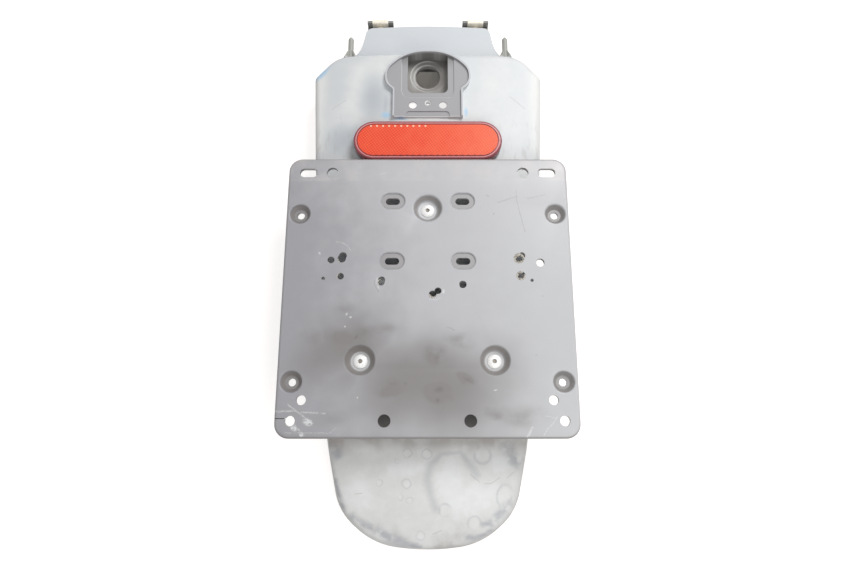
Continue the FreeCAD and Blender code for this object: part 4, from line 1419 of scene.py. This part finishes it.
def add_piece(name: str, shape: bmesh.types.BMesh, material: bpy.types.Material) -> None:
    """Turn a bmesh in plate-frame millimetres into a piece that rides on the part.

    Args:
        name: Name of the piece.
        shape: The bmesh, which is freed.
        material: Its finish.
    """
    bmesh.ops.recalc_face_normals(shape, faces=shape.faces)
    move = Matrix.Diagonal((MM, MM, MM, 1.0)) @ Matrix.Translation(-PLATE_ORIGIN)
    bmesh.ops.transform(shape, matrix=move, verts=shape.verts)
    mesh = bpy.data.meshes.new(name)
    shape.to_mesh(mesh)
    shape.free()
    mesh.polygons.foreach_set("use_smooth", [True] * len(mesh.polygons))
    mesh.materials.append(material)
    piece = bpy.data.objects.new(name, mesh)
    bpy.context.scene.collection.objects.link(piece)
    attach(piece, "root")
    LOG.info("built %s with %d faces", name, len(mesh.polygons))


@dataclass
class Mudguard:
    """Moulded shell with neck, lamp seat and flap."""

    finish: MudguardPlastic = MudguardPlastic()
    edge_angle: float = 20.0

    def dress(self, nodes: Mapping[str, bpy.types.Object]) -> None:
        """Finish the shell."""
        dress(nodes["mudguard"], self.finish.material(), self.edge_angle)


@dataclass
class PlateHolder:
    """Flat moulding riveted to the mudguard, with hand-drilled holes."""

    finish: HolderPlastic = HolderPlastic()
    rivet: WornMetal = WornMetal(Metal.ALUMINIUM, (0.90, 0.90, 0.89), (0.70, 0.69, 0.67), 0.5, 0.25)
    mandrel: WornMetal = WornMetal(Metal.DARK_STEEL, (0.30, 0.28, 0.25), (0.12, 0.10, 0.08), 0.5, 0.8)

    def dress(self, nodes: Mapping[str, bpy.types.Object]) -> None:
        """Finish the moulding, its rivets and their mandrels.

        Args:
            nodes: The CAD nodes by name.
        """
        dress(nodes["plate_holder"], self.finish.material())
        dress(nodes["plate_rivets"], self.rivet.material())
        dress(nodes["rivet_mandrels"], self.mandrel.material())


@dataclass(frozen=True)
class Burr:
    """Torn lip on part of a drilled hole's wall, from a start angle on through a sweep in degrees."""

    x: float
    z: float
    radius: float
    start: float
    sweep: float
    reach: float


@dataclass
class DrillBurrs:
    """Torn plastic inside the holes drilled by hand.

    Each point of a lip's section has a share of the lip's reach, below 0 towards the hole's middle, and a depth.
    """

    finish: DebrisAndShadeStrip = DebrisAndShadeStrip("cut_plastic", (0.55, 0.52, 0.46), (0.15, 0.13, 0.11))
    seed: int = 11
    step: float = 14.0
    fewest_steps: int = 3
    kept_share: tuple[float, float] = (0.1, 1.0)
    section: tuple[Place, ...] = ((0.05, 0.06), (-0.55, 0.22), (-1.0, 0.6), (-0.5, 1.1), (0.05, 1.5))
    burrs: tuple[Burr, ...] = (
        Burr(-56.6, 21.6, 2.8, 185.0, 70.0, 0.9),
        Burr(-57.0, 9.5, 2.25, 110.0, 110.0, 0.6),
        Burr(-63.6, 20.6, 2.35, 200.0, 60.0, 0.3),
        Burr(-30.3, 5.4, 2.3, 100.0, 130.0, 0.9),
        Burr(3.3, -2.7, 2.5, 170.0, 170.0, 1.6),
        Burr(6.8, -0.4, 2.3, 250.0, 70.0, 0.7),
        Burr(60.2, 21.6, 3.5, 0.0, 345.0, 2.6),
        Burr(62.2, 23.6, 2.3, -30.0, 90.0, 0.6),
        Burr(61.1, 9.8, 3.1, 60.0, 320.0, 2.3),
        Burr(74.1, 18.8, 2.8, 120.0, 90.0, 0.4),
        Burr(23.0, 3.9, 2.5, 160.0, 60.0, 0.5),
    )

    def lip(self, shape: bmesh.types.BMesh, burr: Burr, chance: random.Random) -> None:
        """Spin one lip along a hole's wall and tear its inner edge.

        Args:
            shape: Mesh that the lip is added to.
            burr: Place and size of the lip.
            chance: Source of the tearing.
        """
        before = set(shape.verts)
        centre = Vector((burr.x, 0.0, burr.z))
        across = Matrix.Rotation(-math.radians(burr.start), 3, "Y") @ Vector((1.0, 0.0, 0.0))
        points = []
        for inward, depth in self.section:
            away = burr.radius + inward * burr.reach
            points.append(shape.verts.new(centre + across * away + Vector((0.0, depth, 0.0))))
        edges = [shape.edges.new((points[i - 1], point)) for i, point in enumerate(points)]
        bmesh.ops.spin(
            shape, geom=points + edges, cent=centre, axis=(0.0, -1.0, 0.0), angle=math.radians(burr.sweep),
            steps=max(self.fewest_steps, round(burr.sweep / self.step)))
        for point in shape.verts:
            if point not in before:
                self.tear(point, burr, centre, chance)

    def tear(self, point: bmesh.types.BMVert, burr: Burr, centre: Vector, chance: random.Random) -> None:
        """Draw one point of a lip back towards the hole's wall by chance.

        Args:
            point: The point.
            burr: Place and size of the lip.
            centre: Middle of the hole at the plate's face.
            chance: Source of the tearing.
        """
        share = chance.uniform(*self.kept_share)
        depth = Vector((0.0, point.co.y, 0.0))
        offset = point.co - centre - depth
        if offset.length < burr.radius:
            offset.length = burr.radius - (burr.radius - offset.length) * share
            point.co = centre + offset + depth

    def build(self) -> None:
        """Make all the lips as one piece."""
        chance = random.Random(self.seed)
        shape = bmesh.new()
        for burr in self.burrs:
            self.lip(shape, burr, chance)
        ends = [edge for edge in shape.edges if edge.is_boundary]
        bmesh.ops.holes_fill(shape, edges=ends)
        add_piece("drill_burrs", shape, self.finish.material())


@dataclass
class CrackShade:
    """Dark strip in the crack at the plate holder's lower left corner, standing in as painted shade inside it.
    """

    # Dark tones of the strip that stands in as painted shade
    finish: DebrisAndShadeStrip = DebrisAndShadeStrip("crack_shade_strip", (0.20, 0.18, 0.16), (0.07, 0.06, 0.055))
    left: float = -94.7
    right: float = -88.6
    z: float = -81.9
    width: float = 0.52
    depth: float = 1.0
    thickness: float = 0.8
    unevenness: float = 0.25
    lumps_along: int = 16
    lumps_across: int = 2
    seed: int = 5

    def build(self) -> None:
        """Make an uneven strip along the crack."""
        chance = random.Random(self.seed)
        shape = bmesh.new()
        bmesh.ops.create_grid(shape, x_segments=self.lumps_along, y_segments=self.lumps_across, size=0.5)
        middle = Vector(((self.left + self.right) / 2, self.depth, self.z))
        stretch = Matrix.Diagonal((self.right - self.left, self.width, 1.0, 1.0))
        place = Matrix.Translation(middle) @ Matrix.Rotation(math.pi / 2, 4, "X") @ stretch
        bmesh.ops.transform(shape, matrix=place, verts=shape.verts)
        for point in shape.verts:
            point.co.y += chance.uniform(-self.unevenness, self.unevenness)
        bmesh.ops.solidify(shape, geom=shape.faces, thickness=self.thickness)
        add_piece("crack_shade", shape, self.finish.material())


@dataclass
class Reflector:
    """Red reflector on its base, held by two studs."""

    lens: RedLens = RedLens()
    base: BlackPlastic = BlackPlastic()
    zinc: WornMetal = WornMetal(Metal.ZINC, (0.66, 0.66, 0.64), (0.38, 0.36, 0.33), 0.38, 0.9)

    def dress(self, nodes: Mapping[str, bpy.types.Object]) -> None:
        """Finish lens, base, studs and nuts.

        Args:
            nodes: The CAD nodes by name.
        """
        dress(nodes["reflector_lens"], self.lens.material())
        dress(nodes["reflector_base"], self.base.material())
        zinc = self.zinc.material()
        dress(nodes["reflector_studs"], zinc)
        dress(nodes["reflector_nuts"], zinc)


@dataclass
class TailFixings:
    """Clip nuts on the tabs of the neck."""

    gold: WornMetal = WornMetal(Metal.GOLD_ZINC, (0.97, 0.92, 0.80), (0.78, 0.66, 0.48), 0.42, 0.15)

    def dress(self, nodes: Mapping[str, bpy.types.Object]) -> None:
        """Finish the clip nuts."""
        dress(nodes["clip_nuts"], self.gold.material())


@dataclass(frozen=True)
class Lamp:
    """Round soft lamp, with its power, its breadth, where it hangs and what it points at."""

    name: str
    watts: float
    size: float
    place: tuple[float, float, float]
    aim: tuple[float, float, float]


@dataclass
class Studio:
    """White table behind the part, soft light from the upper right, and the photograph's camera."""

    focal_pixels: float = 640.0
    image_width: float = 860.0
    sensor: float = 36.0
    nearest_seen: float = 10.0
    eye: tuple[float, float, float] = (1.6, -403.0, -104.0)
    pitch: float = 14.8
    lamps: tuple[Lamp, ...] = (
        Lamp("key", 6.2, 450.0, (390.0, -760.0, 600.0), (0.0, 0.0, -30.0)),
        Lamp("bounce", 1.25, 420.0, (160.0, -420.0, -380.0), (0.0, 10.0, -110.0)),
    )
    fill: float = 0.40
    white: Colour = (1.0, 1.0, 1.0)
    table_depth: float = 46.6
    table_size: float = 6000.0
    table_glow: float = 0.72
    table_colour: Colour = (0.60, 0.55, 0.52)

    def camera(self) -> None:
        """Place the camera at the photograph's viewpoint."""
        data = bpy.data.cameras.new("camera")
        data.sensor_fit = "HORIZONTAL"
        data.sensor_width = self.sensor
        data.lens = self.sensor * self.focal_pixels / self.image_width
        data.clip_start = self.nearest_seen * MM
        camera = bpy.data.objects.new("camera", data)
        camera.location = in_part(*self.eye)
        camera.rotation_euler = (math.radians(90.0 + self.pitch), 0.0, 0.0)
        bpy.context.scene.collection.objects.link(camera)
        bpy.context.scene.camera = camera

    def hang(self, lamp: Lamp) -> None:
        """Hang one soft lamp.

        Args:
            lamp: The lamp.
        """
        data = bpy.data.lights.new(lamp.name, "AREA")
        data.shape = "DISK"
        data.size = lamp.size * MM
        data.energy = lamp.watts
        light = bpy.data.objects.new(lamp.name, data)
        light.location = in_part(*lamp.place)
        aim = in_part(*lamp.aim) - light.location
        light.rotation_euler = aim.to_track_quat("-Z", "Y").to_euler()
        bpy.context.scene.collection.objects.link(light)

    def world(self) -> None:
        """Even fill light, with white where the camera or a mirror sees it."""
        world = bpy.data.worlds.new("studio")
        world.use_nodes = True
        maker = NodeMaker(world.node_tree)
        direct = maker.node("ShaderNodeLightPath", output="Is Camera Ray")
        mirrored = direct.other("Is Glossy Ray") + direct.other("Is Transmission Ray")
        levels = {"Value": direct + mirrored, "To Min": self.fill, "To Max": 1.0}
        background = world.node_tree.nodes["Background"]
        maker.feed(background.inputs["Color"], self.white)
        maker.feed(background.inputs["Strength"], maker.node("ShaderNodeMapRange", inputs=levels))
        bpy.context.scene.world = world

    def table(self) -> None:
        """White table that the part lies on, seen only from its front and showing the part's shadow."""
        shape = bmesh.new()
        bmesh.ops.create_grid(shape, x_segments=1, y_segments=1, size=self.table_size * MM / 2)
        place = Matrix.Translation(in_part(0.0, self.table_depth, 0.0)) @ Matrix.Rotation(math.pi / 2, 4, "X")
        bmesh.ops.transform(shape, matrix=place, verts=shape.verts)
        mesh = bpy.data.meshes.new("table")
        shape.to_mesh(mesh)
        shape.free()
        table = bpy.data.objects.new("table", mesh)
        bpy.context.scene.collection.objects.link(table)
        mesh.materials.append(self.table_material())

    def table_material(self) -> bpy.types.Material:
        """White face that keeps the shadow and lets all but the camera's own rays pass.

        Returns:
            The material.
        """
        graph = Graph("table")
        direct = graph.node("ShaderNodeLightPath", output="Is Camera Ray")
        behind = graph.node("ShaderNodeNewGeometry", output="Backfacing")
        face = graph.node("ShaderNodeBsdfDiffuse", inputs={"Color": self.table_colour})
        glow = graph.node("ShaderNodeEmission", inputs={"Strength": self.table_glow})
        surface = graph.node("ShaderNodeAddShader", inputs={0: face, 1: glow})
        clear = graph.node("ShaderNodeBsdfTransparent")
        mixed = graph.node("ShaderNodeMixShader", inputs={0: direct * (1.0 - behind), 1: clear, 2: surface})
        graph.feed(graph.tree.nodes["Material Output"].inputs["Surface"], mixed)
        return graph.material

    def build(self) -> None:
        """Set up camera, lamps, world and table."""
        self.camera()
        for lamp in self.lamps:
            self.hang(lamp)
        self.world()
        self.table()
        bpy.context.scene.view_settings.view_transform = "Standard"
        LOG.info("set up the studio")


def main() -> None:
    """Load the solids, dress them, add the small pieces and set up the studio."""
    logging.basicConfig(level=logging.INFO)
    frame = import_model()
    nodes = frame["nodes"]
    for group in (Mudguard(), PlateHolder(), Reflector(), TailFixings()):
        group.dress(nodes)
    DrillBurrs().build()
    CrackShade().build()
    Studio().build()


if __name__ == "__main__":
    main()
